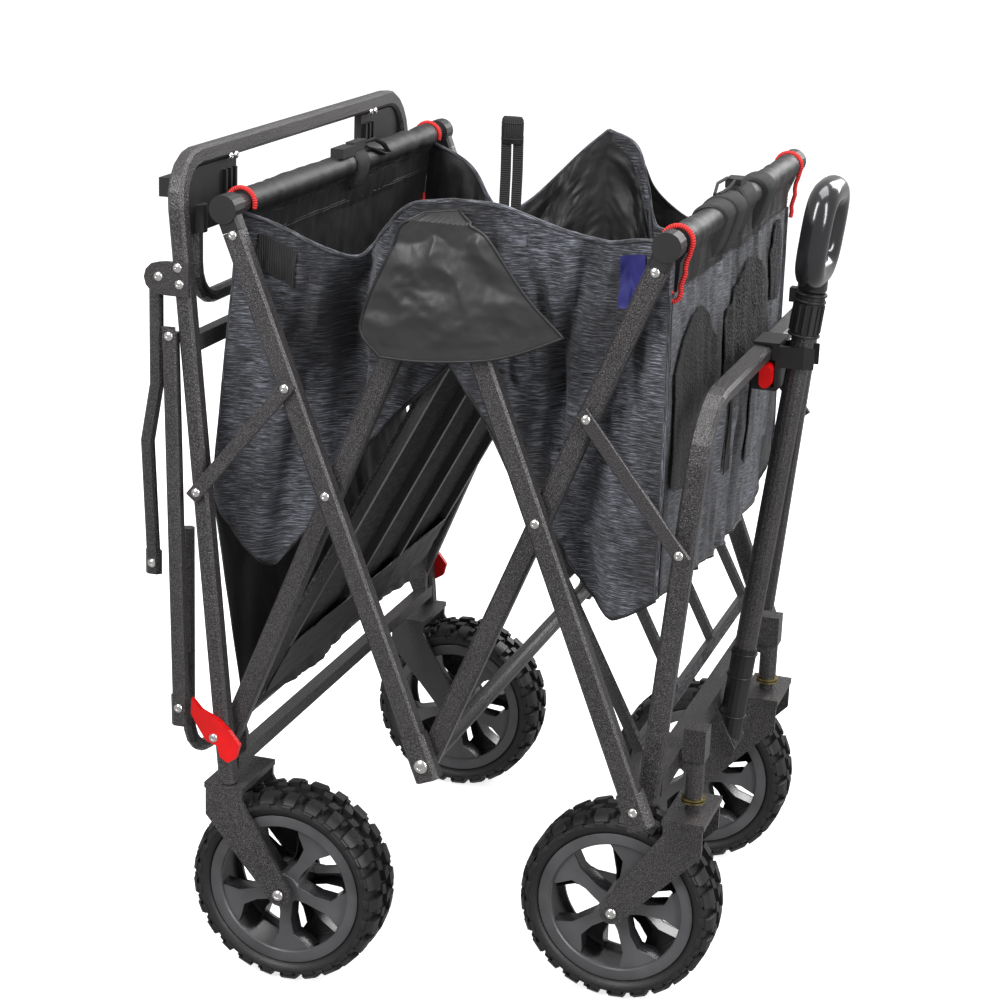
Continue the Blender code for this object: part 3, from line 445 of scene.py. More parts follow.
def spline(points, count):
    """count + 1 points evenly along a smooth line through the given ones."""
    p, t = run_along(points)
    m = np.gradient(p, t, axis=0)
    out = []
    for value in np.linspace(0, t[-1], count + 1):
        i = min(int(np.searchsorted(t, value, side="right")) - 1, len(p) - 2)
        h = t[i + 1] - t[i]
        s = (value - t[i]) / h
        out.append((2 * s**3 - 3 * s**2 + 1) * p[i] + (s**3 - 2 * s**2 + s) * h * m[i]
                   + (-2 * s**3 + 3 * s**2) * p[i + 1] + (s**3 - s**2) * h * m[i + 1])
    return np.array(out)


def polyline(points, count):
    """count + 1 points evenly along straight lines through the given ones, which keeps a sharp tip."""
    p, t = run_along(points)
    spots = np.linspace(0, t[-1], count + 1)
    return np.stack([np.interp(spots, t, p[:, k]) for k in range(p.shape[1])], axis=1)


def crumple(a, b, seed, ridged=0.5):
    """Creased noise from -1 to 1."""
    plain = noise.noise(Vector((a, b, seed)))
    ridge = 1 - 2 * abs(noise.noise(Vector((a * 1.3 + 7, b * 1.3, seed + 4))))
    return plain * (1 - ridged) * 1.6 + (ridge - 0.55) * ridged * 1.6


def cloth(name, grid, toward, outer, inner, slot="heather_fabric", thickness=CLOTH, edge=None):
    """A closed sheet from a grid of points, its outer face towards a direction, with metres as its UVs."""
    p = np.array(grid, float)
    normal = np.cross(np.gradient(p, axis=1), np.gradient(p, axis=0))
    normal /= np.maximum(np.linalg.norm(normal, axis=2, keepdims=True), 1e-9)
    if (normal @ np.array(toward)).mean() < 0:
        p, normal = p[:, ::-1], -normal[:, ::-1]
    rows, cols = p.shape[:2]
    facing = np.abs(normal).mean(axis=(0, 1))
    along = 0 if facing[1] > facing[0] else 1
    uvs = [(float(p[i, j, along]), float(p[i, j, 2])) for i in range(rows) for j in range(cols)]
    back = p - normal * thickness
    points = list(p.reshape(-1, 3)) + list(back.reshape(-1, 3))
    half = rows * cols
    faces, looks = [], []
    for i in range(rows - 1):
        for j in range(cols - 1):
            a = i * cols + j
            quad = [a, a + 1, a + 1 + cols, a + cols]
            faces += [quad, [half + k for k in reversed(quad)]]
            looks += [0, 1]
    rim = list(range(cols)) + [i * cols + cols - 1 for i in range(1, rows)]
    rim += [(rows - 1) * cols + j for j in range(cols - 2, -1, -1)]
    rim += [i * cols for i in range(rows - 2, 0, -1)]
    for a, b in zip(rim, rim[1:] + rim[:1]):
        faces.append([a, a + half, b + half, b])
        looks.append(2 if edge else 0)
    shape = Shape(*([outer, inner, edge] if edge else [outer, inner]))
    shape.add(points, faces, looks, uvs * 2)
    obj = shape.build(name, slot=slot, smooth=70)
    return obj


# --- Wheels ---


def round_wheel(center, r, angle, y):
    """A point at a radius and angle round a wheel's centre."""
    return center + Vector((r * cos(angle), y, r * sin(angle)))


def tyre(name, center, body):
    """A tyre with five rows of staggered tread blocks on each side."""
    shape = Shape("rubber")
    low = RIM_RADIUS + 0.0002
    half = [(low, 0.0255), (low + 0.002, 0.029), (0.0845, 0.0312), (0.0872, 0.0316), (0.0876, 0.0308),
            (0.0905, 0.03), (0.0925, 0.0268), (0.0935, 0.018), (0.094, 0.006)]
    profile = [(r, y) for r, y in half] + [(r, -y) for r, y in reversed(half)]
    rings = [[round_wheel(center, r, a, y) for a in turns(96)] for r, y in profile]
    shape.rings(rings, closed=True)
    pitch = 2 * pi / LUGS

    def lug(start, spans, low_r=0.0925):
        """A tread block, from lines across it: (two edges as shares of a pitch), y and radius."""
        points = []
        slope = 0.05 * pitch
        for (a0, a1), y, rise in spans:
            a0, a1 = start + a0 * pitch, start + a1 * pitch
            points += [round_wheel(center, low_r, a0 - slope, y), round_wheel(center, low_r, a1 + slope, y),
                       round_wheel(center, rise, a1, y), round_wheel(center, rise, a0, y)]
        n = len(spans)
        faces = [[0, 1, 2, 3], [4 * n - 1, 4 * n - 2, 4 * n - 3, 4 * n - 4]]
        for i in range(n - 1):
            a, b = 4 * i, 4 * i + 4
            faces += [[a + k, b + k, b + (k + 1) % 4, a + (k + 1) % 4] for k in range(4)]
        shape.add(points, faces)

    top = WHEEL_RADIUS - 0.0004
    for i in range(LUGS):
        for side in (-1, 1):
            start = (i + (0.5 if side > 0 else 0.0)) * pitch
            wide = 0.3 if i % 2 else 0.24
            across = (-wide, wide)
            lug(start, [(across, side * 0.012, top), (across, side * 0.021, top - 0.0008),
                        (across, side * 0.0275, 0.0972), ((-wide * 0.9, wide * 0.9), side * 0.0312, 0.0935)])
            lug(start + 0.02, [((-0.22, 0.2), side * 0.03, 0.093), ((-0.2, 0.18), side * 0.0322, 0.0912),
                               ((-0.18, 0.16), side * 0.0326, 0.089)], 0.0868)
            start += 0.5 * pitch
            lug(start, [((-0.36, 0.02), side * 0.0012, top), ((-0.26, 0.14), side * 0.0105, top)])
            lug(start, [((0.02, 0.2), side * 0.015, top), ((0.06, 0.24), side * 0.022, top - 0.001)])
    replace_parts(shape.build("treaded_" + name, body, "tyre_rubber", smooth=35), name)


def blade(turn, mirrored):
    """Outline of one wedge-shaped blade of a rim, as (radius, angle)."""
    line = [(0.015, -30), (0.026, -15), (0.05, -12), (BLADE_TIP, -18), (BLADE_TIP, -9), (BLADE_TIP, 0),
            (BLADE_TIP, 9), (BLADE_TIP, 19), (0.061, 16), (0.05, 6), (0.034, 6), (0.024, 13), (0.015, 28)]
    sign = -1 if mirrored else 1
    return [(r, turn + sign * radians(a)) for r, a in line]


def rim(name, center, body, outward, turn):
    """Two faces of five blades, an outer ring, a barrel, and deep webs between the faces."""
    shape = Shape("rim", "rim_inner")
    outer, inner, lip = RIM_RADIUS, 0.0722, 0.0668
    half = [(outer, RIM_HALF), (outer - 0.0012, RIM_HALF + 0.0006), (0.068, RIM_HALF + 0.0004),
            (lip, RIM_HALF - 0.001), (lip, RIM_HALF - 0.0045), (inner, RIM_HALF - 0.006)]
    ring = [(outer, -RIM_HALF)] + half + [(r, -y) for r, y in reversed(half[1:])]
    rings = [[round_wheel(center, r, a, y) for a in turns(72)] for r, y in ring]
    shape.rings(rings, closed=True)
    hub = [(0.0, -RIM_HALF + 0.001), (0.015, -RIM_HALF + 0.001), (0.0165, -RIM_HALF + 0.003),
           (0.0165, RIM_HALF - 0.003), (0.015, RIM_HALF - 0.001), (0.0, RIM_HALF - 0.001)]
    shape.lathe(hub, center, (0, 1, 0), 36)
    for face in (-1, 1):
        offset = turn + (0.0 if face == outward else radians(15))
        for i in range(BLADES):
            start = offset + 2 * pi * i / BLADES
            outline = blade(start, face != outward)
            points = []
            for depth in (0.003, 0.0065):
                for r, a in outline:
                    dish = 0.0042 * (1 - r / BLADE_TIP)
                    points.append(round_wheel(center, r, a, face * (RIM_HALF - depth + dish * 0.4)))
            n = len(outline)
            faces = [list(range(n)), list(range(2 * n - 1, n - 1, -1))]
            faces += [[j, (j + 1) % n, n + (j + 1) % n, n + j] for j in range(n)]
            shape.add(points, faces)
            for edge in (-1, 1):
                side = outline[:4] if edge < 0 else outline[7:]
                wall = []
                for r, a in side:
                    lean = radians(1.6) * (BLADE_TIP / max(r, 0.03)) * 0.8
                    for da in (0.0, -edge * lean * (1 if face == outward else -1)):
                        for depth in (0.004, 0.023):
                            y = face * (RIM_HALF - depth)
                            wall.append(round_wheel(center, min(r, 0.0715), a + da, y))
                m = len(side)
                quads = []
                for k in range(m - 1):
                    a, b = 4 * k, 4 * k + 4
                    quads += [[a, b, b + 1, a + 1], [a + 2, a + 3, b + 3, b + 2], [a, a + 2, b + 2, b],
                              [a + 1, b + 1, b + 3, a + 3]]
                quads += [[0, 1, 3, 2], [4 * m - 4, 4 * m - 2, 4 * m - 1, 4 * m - 3]]
                # The deep webs take the darker copy of the rim plastic: painted shade in the recess.
                shape.add(wall, quads, 1)
    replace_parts(shape.build("spoked_" + name, body, "rim_plastic", smooth=32), name)


def wheels():
    """All four wheels, the front ones turned a little further."""
    for name, side in SIDES.items():
        for end, (x, y) in (("rear", REAR_AXLE), ("front", FRONT_AXLE)):
            center = at(x, side * y, WHEEL_RADIUS)
            body = f"{end}_wheel_{name}"
            tyre(f"{end}_tyre_{name}", center, body)
            rim(f"{end}_rim_{name}", center, body, -1, radians(60 if end == "rear" else 78))


# --- Pins and small fittings ---


def dome(shape, center, axis, radius, height):
    """A rivet's or bolt's rounded head with a small dimple."""
    profile = [(0, -0.0004), (radius, -0.0004), (radius, height * 0.25), (radius * 0.93, height * 0.5),
               (radius * 0.72, height * 0.85), (radius * 0.36, height), (radius * 0.3, height * 0.86),
               (0, height * 0.84)]
    shape.lathe(profile, center, axis, 20)


def domes(shape, pins, radius, height):
    """Heads on the near and the far side, each pin as (X, Z, distance from the middle plane)."""
    for side in SIDES.values():
        for x, z, y in pins:
            dome(shape, at(x, side * y, z), (0, side, 0), radius, height)


def axle_ends(shape, axle, side):
    """The two rounded ends of one wheel's axle."""
    x, y = axle
    for reach in (-1, 1):
        dome(shape, at(x, side * y + reach * AXLE_REACH, WHEEL_RADIUS), (0, reach, 0), 0.0058, 0.003)


def rivets():
    """Every visible pin, bolt and washer, one piece for each body."""
    for body, pins in RIVETS.items():
        shape = Shape("zinc")
        domes(shape, pins, RIVET, 0.0022)
        if body == "bars_a":
            domes(shape, [MIDDLE_BOLT], 0.0072, 0.0034)
        if body == "front_frame":
            domes(shape, [(HANDLE_PIVOT[0], HANDLE_PIVOT[2], 0.0188)], 0.005, 0.0026)
        if body == "rear_frame":
            for side in SIDES.values():
                axle_ends(shape, REAR_AXLE, side)
            for name, side in SIDES.items():
                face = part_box("corner_plate_" + name)[1].x
                for y in (0.18, 0.1925):
                    dome(shape, Vector((face, side * y, 0.808)), (1, 0, 0), 0.0036, 0.0016)
        shape.build("rivets_" + body, body, "gunmetal_steel")
    for name, side in SIDES.items():
        shape = Shape("zinc")
        axle_ends(shape, FRONT_AXLE, side)
        shape.build("axle_ends_" + name, "caster_" + name, "gunmetal_steel")
        washer = Shape("brass")
        ring = [(0.0085, -0.001), (0.0122, -0.001), (0.0122, 0.0008), (0.0085, 0.0008)]
        for z in (0.216, 0.2192):
            washer.lathe(ring, at(STEM[0], side * STEM[1], z), (0, 0, 1), 32, closed=True)
        washer.build("stem_washers_" + name, "caster_" + name, "gunmetal_steel")


def along_handle(along, side=0.0, forward=0.0):
    """A point given by how far up the leaning handle it is."""
    x, _, z = HANDLE_PIVOT
    return at(x + sin(HANDLE_LEAN) * along + cos(HANDLE_LEAN) * forward, side,
              z + cos(HANDLE_LEAN) * along - sin(HANDLE_LEAN) * forward)


def handle():
    """The smooth closed grip, and the ribs of the collar below it."""
    start, height, half_width, radius = GRIP
    axis = along_handle(1) - along_handle(0)
    inset = 0.0175  # from the grip's outline to the middle of its bar
    wide = half_width - inset
    low, high = start + inset, start + height - inset
    ring = []
    for a in turns(72):
        rise, across = ((abs(v) ** GRIP_SQUARENESS) * (1 if v > 0 else -1) for v in (sin(a), cos(a)))
        ring.append(along_handle((low + high) / 2 + (high - low) / 2 * rise, wide * across))
    shape = Shape("grip")
    shape.tube(ring, radius, 20, closed=True)
    shape.lathe([(0, 0), (0.0135, 0), (0.0148, 0.003), (0.014, 0.012), (0.0125, 0.018), (0, 0.02)],
                along_handle(start), axis, 28)
    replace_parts(shape.build("smooth_grip", "grip", "grip_plastic", smooth=50), "handle_grip")
    ribs = Shape("plastic")
    bottom, top, r = COLLAR
    u = Vector((0, 1, 0))
    w = axis.normalized().cross(u)

    def hoop(s, radius):
        return [along_handle(s) + (u * cos(b) + w * sin(b)) * radius for b in turns(32)]

    for a in turns(14):
        base = (u * cos(a) + w * sin(a)) * (r + 0.0002)
        ribs.tube([along_handle(bottom + 0.004) + base, along_handle(top - 0.012) + base], 0.0013, 6)
    for s in (bottom + 0.001, top - 0.009, top - 0.002):
        ribs.tube(hoop(s, r + 0.0004), 0.0014, 8, closed=True)
    tab = along_handle(top - 0.006, 0, -r - 0.002)
    ribs.block(tab - Vector((0.004, 0.006, 0.007)), tab + Vector((0.003, 0.006, 0.007)))
    ribs.build("collar_ribs", "handle", "black_plastic")
    clamp = Shape("plastic")
    for s in (0.1, 0.074, 0.03):
        clamp.tube(hoop(s, 0.013), 0.0012, 8, closed=True)
    clamp.build("sleeve_rings", "handle", "black_plastic")


# --- Cloth basket ---

# Each wall half: its hem from the corner to the middle, then its lower edge, as
# (X, Z, how far in from the bars)
NEAR_REAR = (
    ((-0.2066, 0.769, 0), (-0.18, 0.761, 0.002), (-0.1592, 0.7532, 0.004), (-0.125, 0.738, 0.012),
     (-0.0963, 0.731, 0.022), (-0.0837, 0.7415, 0.016), (-0.0627, 0.7665, 0.004), (-0.044, 0.786, 0),
     (-0.038, 0.7895, 0), (-0.012, 0.795, 0), (0.002, 0.797, 0)),
    ((-0.2348, 0.492, 0), (-0.225, 0.47, 0.001), (-0.204, 0.442, 0.002), (-0.183, 0.4225, 0.002),
     (-0.1775, 0.4215, 0.004), (-0.173, 0.429, 0.006), (-0.1128, 0.5209, 0.01), (-0.05, 0.59, 0.008),
     (0.002, 0.645, 0.002)),
)
NEAR_FRONT = (
    ((0.2056, 0.77, 0), (0.1887, 0.7757, 0.001), (0.1469, 0.7719, 0.002), (0.0938, 0.7814, 0.001),
     (0.0465, 0.7952, 0), (0.002, 0.797, 0)),
    ((0.2095, 0.4456, 0), (0.19, 0.431, 0), (0.17, 0.42, 0.001), (0.164, 0.42, 0.002),
     (0.1377, 0.441, 0.003), (0.1174, 0.4627, 0.005), (0.0756, 0.5348, 0.006), (0.038, 0.59, 0.004),
     (0.002, 0.645, 0.002)),
)
FAR_REAR = (
    ((-0.2066, 0.769, 0), (-0.1593, 0.748, 0.004), (-0.1218, 0.705, 0.014), (-0.1036, 0.693, 0.02),
     (-0.0898, 0.7035, 0.016), (-0.0527, 0.7427, 0.006), (-0.025, 0.7729, 0.001), (0.002, 0.797, 0)),
    NEAR_REAR[1],
)
FAR_FRONT = (
    ((0.2056, 0.77, 0), (0.17, 0.756, 0.002), (0.125, 0.713, 0.01), (0.09, 0.695, 0.016),
     (0.0686, 0.6971, 0.014), (0.0513, 0.7402, 0.004), (0.032, 0.785, 0.001), (0.002, 0.797, 0)),
    NEAR_FRONT[1],
)
WALLS = {("rear", "near"): NEAR_REAR, ("front", "near"): NEAR_FRONT, ("rear", "far"): FAR_REAR,
         ("front", "far"): FAR_FRONT}
COLUMNS, ROWS, OUTLINE_STEPS = 64, 72, 240


def wall_fold(end, name, s, t):
    """How far a wall is pulled in at s from its corner to the middle and t from hem to lower edge."""
    seed = {"rear": 3.0, "front": 11.0}[end] + {"near": 0.0, "far": 20.0}[name]
    fade = min(1.0, 7 * s) * min(1.0, 5 * (1 - s) + 0.1)
    middle = sin(pi * min(1.0, max(0.0, t))) ** 0.6
    if end == "rear":
        valley = 0.034 * np.exp(-((s - 0.53 + 0.1 * t) / 0.075) ** 2) * (1 - 0.45 * t)
        step = 1 / (1 + np.exp(-(s - 0.235 - 0.05 * (1 - t)) / 0.012))
        valley += 0.024 * step * max(0.0, 1 - s) ** 0.6 * min(1.0, max(0.0, (t - 0.16) * 3.0))
        valley += 0.014 * np.exp(-((s - 0.4 - 0.22 * t) / 0.05) ** 2) * middle
    else:
        step = 1 / (1 + np.exp(-(s - 0.2 - 0.1 * (1 - t)) / 0.014))
        valley = 0.022 * step * max(0.0, 1 - s) ** 0.8 * min(1.0, max(0.0, (t - 0.28) * 2.4))
        valley += 0.024 * np.exp(-((s - 0.36 - 0.25 * t) / 0.05) ** 2) * middle
        valley += 0.012 * np.exp(-((s - 0.66 + 0.3 * t) / 0.06) ** 2) * middle
    small = 0.0048 * (0.6 + crumple(7.0 * s + 1.8 * t, 2.6 * t - 1.3 * s, seed, 0.6))
    tiny = 0.0016 * (0.6 + crumple(21.0 * s, 9.0 * t, seed + 9, 0.7))
    return (valley + small + tiny) * fade * (0.35 + 0.65 * min(1.0, 9 * t + 0.25))


def wall_grid(end, name, s0=0.0, s1=1.0, t0=0.0, t1=1.0, cols=COLUMNS, rows=ROWS, off=0.0):
    """A part of a half wall, from s0 to s1 along it and t0 to t1 down it."""
    hem, low = WALLS[end, name]
    top, bottom = spline(hem, OUTLINE_STEPS), polyline(low, OUTLINE_STEPS)
    side = SIDES[name]
    grid = []
    for i in range(rows + 1):
        t = t0 + (t1 - t0) * i / rows
        row = []
        for j in range(cols + 1):
            s = s0 + (s1 - s0) * j / cols
            k = min(OUTLINE_STEPS, max(0, round(s * OUTLINE_STEPS)))
            x, z, inward = top[k] * (1 - t) + bottom[k] * t
            fold = wall_fold(end, name, s, t)
            x += 0.18 * fold * sin(9 * s + 4 * t)
            row.append(at(x, side * (WALL_Y - inward - fold + off), z))
        grid.append(row)
    return grid


def blend_wall(piece):
    """Bakes the placement of a piece of a half wall into its mesh."""
    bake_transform(piece)


def end_depth(end, y, z):
    """X of an end wall at a point across it: it hangs from its rod in folds and billows below."""
    share = (0.775 - z) / 0.33
    lean = 0.004 * share if end == "front" else 0.033 * min(share, 0.857 - (share - 0.857) * 1.55)
    edge = max(0.0, 1 - abs(y) / WALL_Y) ** 0.35
    seed = 31.0 if end == "front" else 47.0
    hang = crumple(24 * y, 2.6 * z, seed, 0.35) * 0.0075 * min(1.0, max(0.0, share) * 2.2)
    fine = crumple(60 * y, 16 * z, seed + 5, 0.7) * 0.002
    billow = (0.007 if end == "front" else 0.0015) * sin(pi * min(1.0, max(0.0, share))) * edge
    return lean + (hang * (1.0 if end == "front" else 0.6) + fine + billow) * edge


def end_point(end, y, z, off=0.0):
    """A point on an end wall."""
    sign = SIGNS[end]
    start = 0.2055 if end == "front" else 0.2065
    return at(sign * (start + end_depth(end, y, z) + off), y, z)


def end_grid(end, y0, y1, tops, bottoms, cols, rows, off=0.0):
    """A part of an end wall between two heights, each given as a function of Y."""
    spots = [y0 + (y1 - y0) * j / cols for j in range(cols + 1)]
    return [[end_point(end, y, tops(y) + (bottoms(y) - tops(y)) * i / rows, off) for y in spots]
            for i in range(rows + 1)]


def between(points):
    """A height read off a line of (Y, Z) points."""
    ys, zs = zip(*points)
    return lambda y: float(np.interp(y, ys, zs))


def level(z):
    """The same height all the way across."""
    return lambda y: z


def sleeve(end):
    """The black sleeve sewn round a rod, its two layers meeting in a stitched band below it."""
    sign = SIGNS[end]
    reach = SLEEVE_REACH[end]
    shape = Shape("black_cloth")
    rings = []
    count = 90
    for i in range(count + 1):
        y = -reach + 2 * reach * i / count
        ring = []
        sag = 0.0016 * crumple(30 * y, 0.5, 71.0 + sign, 0.6)
        r = ROD_RADIUS + 0.0036 + sag
        lean = sign * 0.004 * crumple(9 * y, 1.5, 83.0 + sign, 0.3)
        for k in range(21):
            a = radians(-55 + 290 * k / 20)
            ring.append(at(sign * (ROD[0] + SLEEVE_SHIFT) + cos(a) * r, y, ROD[1] + sin(a) * r))
        low = ROD[1] - SLEEVE_DROP + 0.002 * crumple(14 * y, 3.0, 91.0, 0.2)
        for side, heights in ((-1, (0.3, 0.62, 1.0)), (1, (1.0, 0.62, 0.3))):
            for h in heights:
                z = ROD[1] - 0.008 + (low - ROD[1] + 0.008) * h
                base = end_point(end, y, z).x - MIDDLE["x"]
                half = 0.0032 * (1 - h) ** 0.7 + 0.002
                ring.append(at(base + side * half + lean * h * (1 - h) * 4, y, z))
        rings.append(ring)
    shape.rings(rings)
    shape.uvs = [(-reach + 2 * reach * i / count, -0.004 * k)
                 for i, ring in enumerate(rings) for k in range(len(ring))]
    for line in (0.006, 0.0085):
        for off in (0.0029, -0.0029):
            z = ROD[1] - SLEEVE_DROP + line
            shape.tube([end_point(end, y, z, off) for y in np.linspace(-reach, reach, 80)], 0.0005, 5)
    shape.build("rod_sleeve_" + end, BARS[end], "pocket_fabric", smooth=60)


def sleeve_piping(end):
    """Red binding round each end of a sleeve, running a little way down the corner seam."""
    sign = SIGNS[end]
    reach = SLEEVE_REACH[end]
    for name, side in SIDES.items():
        path = []
        r = ROD_RADIUS + 0.005
        first, last = (200, -25) if sign > 0 else (-20, 205)
        for i in range(15):
            a = radians(first + (last - first) * i / 14)
            x = sign * (ROD[0] + SLEEVE_SHIFT) + cos(a) * r
            path.append(at(x, side * (reach + 0.0008), ROD[1] + sin(a) * r))
        drop = {"front": {"near": 0.05, "far": 0.056}, "rear": {"near": 0.014, "far": 0.078}}[end][name]
        for i in range(1, 9):
            z = ROD[1] - 0.006 - (drop - 0.006) * i / 8
            wave = 0.0009 * sin(1.9 * i)
            path.append(at(sign * (ROD[0] + 0.0125 - 0.0008 * i) + wave, side * (reach + 0.0006 * i), z))
        if (end, name) == ("front", "near"):
            x, y, z = path[-1]
            path += [Vector((x - 0.005, y, z - 0.004)), Vector((x - 0.01, y - 0.001, z + 0.001)),
                     Vector((x - 0.007, y - 0.002, z + 0.006))]
        piping = Shape("red_cloth").tube(path, 0.0023, 10)
        piping.build(f"piping_{end}_{name}", BARS[end], "red_plastic", smooth=60)


def walls():
    """The four half walls, and the hems along their top and lower edges."""
    sheets = {}
    for end, name in WALLS:
        side = SIDES[name]
        obj = cloth(f"side_wall_{end}_{name}", wall_grid(end, name), (0, side, 0), "fabric", "black_cloth")
        hem = Shape("black_cloth", "fabric")
        top = wall_grid(end, name, cols=110, rows=1, t1=0.004)[0]
        hem.tube([p + Vector((0, -side * CLOTH * 0.5, 0.0004)) for p in top], 0.0022, 8, 1, flat=0.8)
        low = wall_grid(end, name, cols=90, rows=1, t0=0.992)[1]
        hem.tube([p + Vector((0, -side * CLOTH * 0.5, 0)) for p in low], 0.0018, 8, 0)
        binding = hem.build(f"wall_hem_{end}_{name}", smooth=60, slot="heather_fabric")
        for piece in (obj, binding):
            blend_wall(piece)
        sheets[end, name] = (obj, [binding])
    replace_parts(sheets["rear", "near"][0], "side_panel_near")
    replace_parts(sheets["rear", "far"][0], "side_panel_far")
    return sheets


def end_walls():
    """The rear and front walls and the seams at the corners."""
    grid = end_grid("rear", -END_HALF, END_HALF, level(END_TOP), lambda y: 0.264 + 0.004 * sin(20 * y),
                    84, 96)
    rear = cloth("end_wall_rear", grid, (-1, 0, 0), "fabric", "black_cloth")
    bottom = between([(-CORNER_Y, 0.448), (-0.12, 0.43), (0.02, 0.419), (0.15, 0.425), (CORNER_Y, 0.456)])
    grid = end_grid("front", -END_HALF, END_HALF, level(END_TOP), bottom, 90, 72)
    front = cloth("end_wall_front", grid, (1, 0, 0), "fabric", "black_cloth")
    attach(front, "front_basket")
    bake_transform(rear)
    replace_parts(rear, "rear_panel")
    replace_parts(front, "front_panel")
    seams = []
    for end, body in (("rear", "rear_basket"), ("front", "front_basket")):
        for name, side in SIDES.items():
            low = 0.492 if end == "rear" else bottom(side * CORNER_Y)
            shape = Shape("fabric")
            path = [end_point(end, side * 0.2612, z) for z in np.linspace(0.73, low, 40)]
            shape.tube(path, 0.0021, 8)
            outward = 0.0008 if end == "front" else -0.0008
            shape.tube([p + Vector((outward, -side * 0.0085, 0)) for p in path], 0.0006, 5)
            seams.append(shape.build(f"corner_seam_{end}_{name}", body, "heather_fabric", smooth=60))
    lower = Shape("black_cloth")
    lower.tube([end_point("front", y, bottom(y)) for y in np.linspace(-CORNER_Y, CORNER_Y, 80)], 0.002, 8)
    lower_hem = lower.build("front_wall_hem", "front_basket", "pocket_fabric", smooth=60)
    return rear, front, seams, lower_hem


def patches():
    """Pockets, bands and tabs on the walls. Each lies on the wall it is sewn to."""
    out = {"front": [], "near_front": [], "near_rear": []}

    def on_front(name, y0, y1, tops, bottoms, look, off, slot="pocket_fabric"):
        grid = end_grid("front", y0, y1, tops, bottoms, 30, 26, off)
        obj = cloth(name, grid, (1, 0, 0), look, look, slot, thickness=0.0012)
        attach(obj, "front_basket")
        out["front"].append(obj)

    def arch(y0, y1, edge, middle):
        return lambda y: edge + (middle - edge) * sin(pi * (y - y0) / (y1 - y0))

    for name, y0, y1, mouth, base, off in (
        ("near", -0.244, -0.09, (0.655, 0.703), (0.548, 0.536), 0.004),
        ("middle", -0.06, 0.15, (0.668, 0.712), (0.598, 0.59), 0.0045),
        ("far", 0.16, 0.225, (0.695, 0.728), (0.648, 0.642), 0.004),
    ):
        on_front("net_pocket_" + name, y0, y1, arch(y0, y1, *mouth), arch(y0, y1, *base), "net", off)
    on_front("pocket_flap", 0.06, 0.245, level(0.605), level(0.495), "fabric", 0.0035, "heather_fabric")
    on_front("pocket_edge", 0.058, 0.248, level(0.608), level(0.599), "black_cloth", 0.0052)
    on_front("slash_pocket", -0.03, -0.008, level(0.6), level(0.505), "black_cloth", 0.004)
    grid = []
    for i in range(11):
        row = []
        for j in range(31):
            s = 0.52 + 0.465 * j / 30
            t = 0.004 + (0.05 + 0.62 * (0.985 - s)) * i / 10
            row.append(wall_grid("front", "far", s, s, t, t, 1, 1, -CLOTH - 0.001)[0][0])
        grid.append(row)
    facing = cloth("peak_facing_far", grid, (0, -1, 0), "fabric", "fabric", thickness=0.0008)
    blend_wall(facing)
    out["far_front"] = [facing]
    for obj, s0, s1, t0, t1, look, slot, end in (
        ("navy_tab", 0.115, 0.225, 0.035, 0.175, "navy", "pocket_fabric", "front"),
        ("webbing_patch", 0.085, 0.245, 0.045, 0.145, "webbing", "webbing", "rear"),
    ):
        grid = wall_grid(end, "near", s0, s1, t0, t1, 16, 16, 0.0016)
        piece = cloth(obj, grid, (0, -1, 0), look, look, slot, thickness=0.0011)
        blend_wall(piece)
        out["near_" + end].append(piece)
    return out


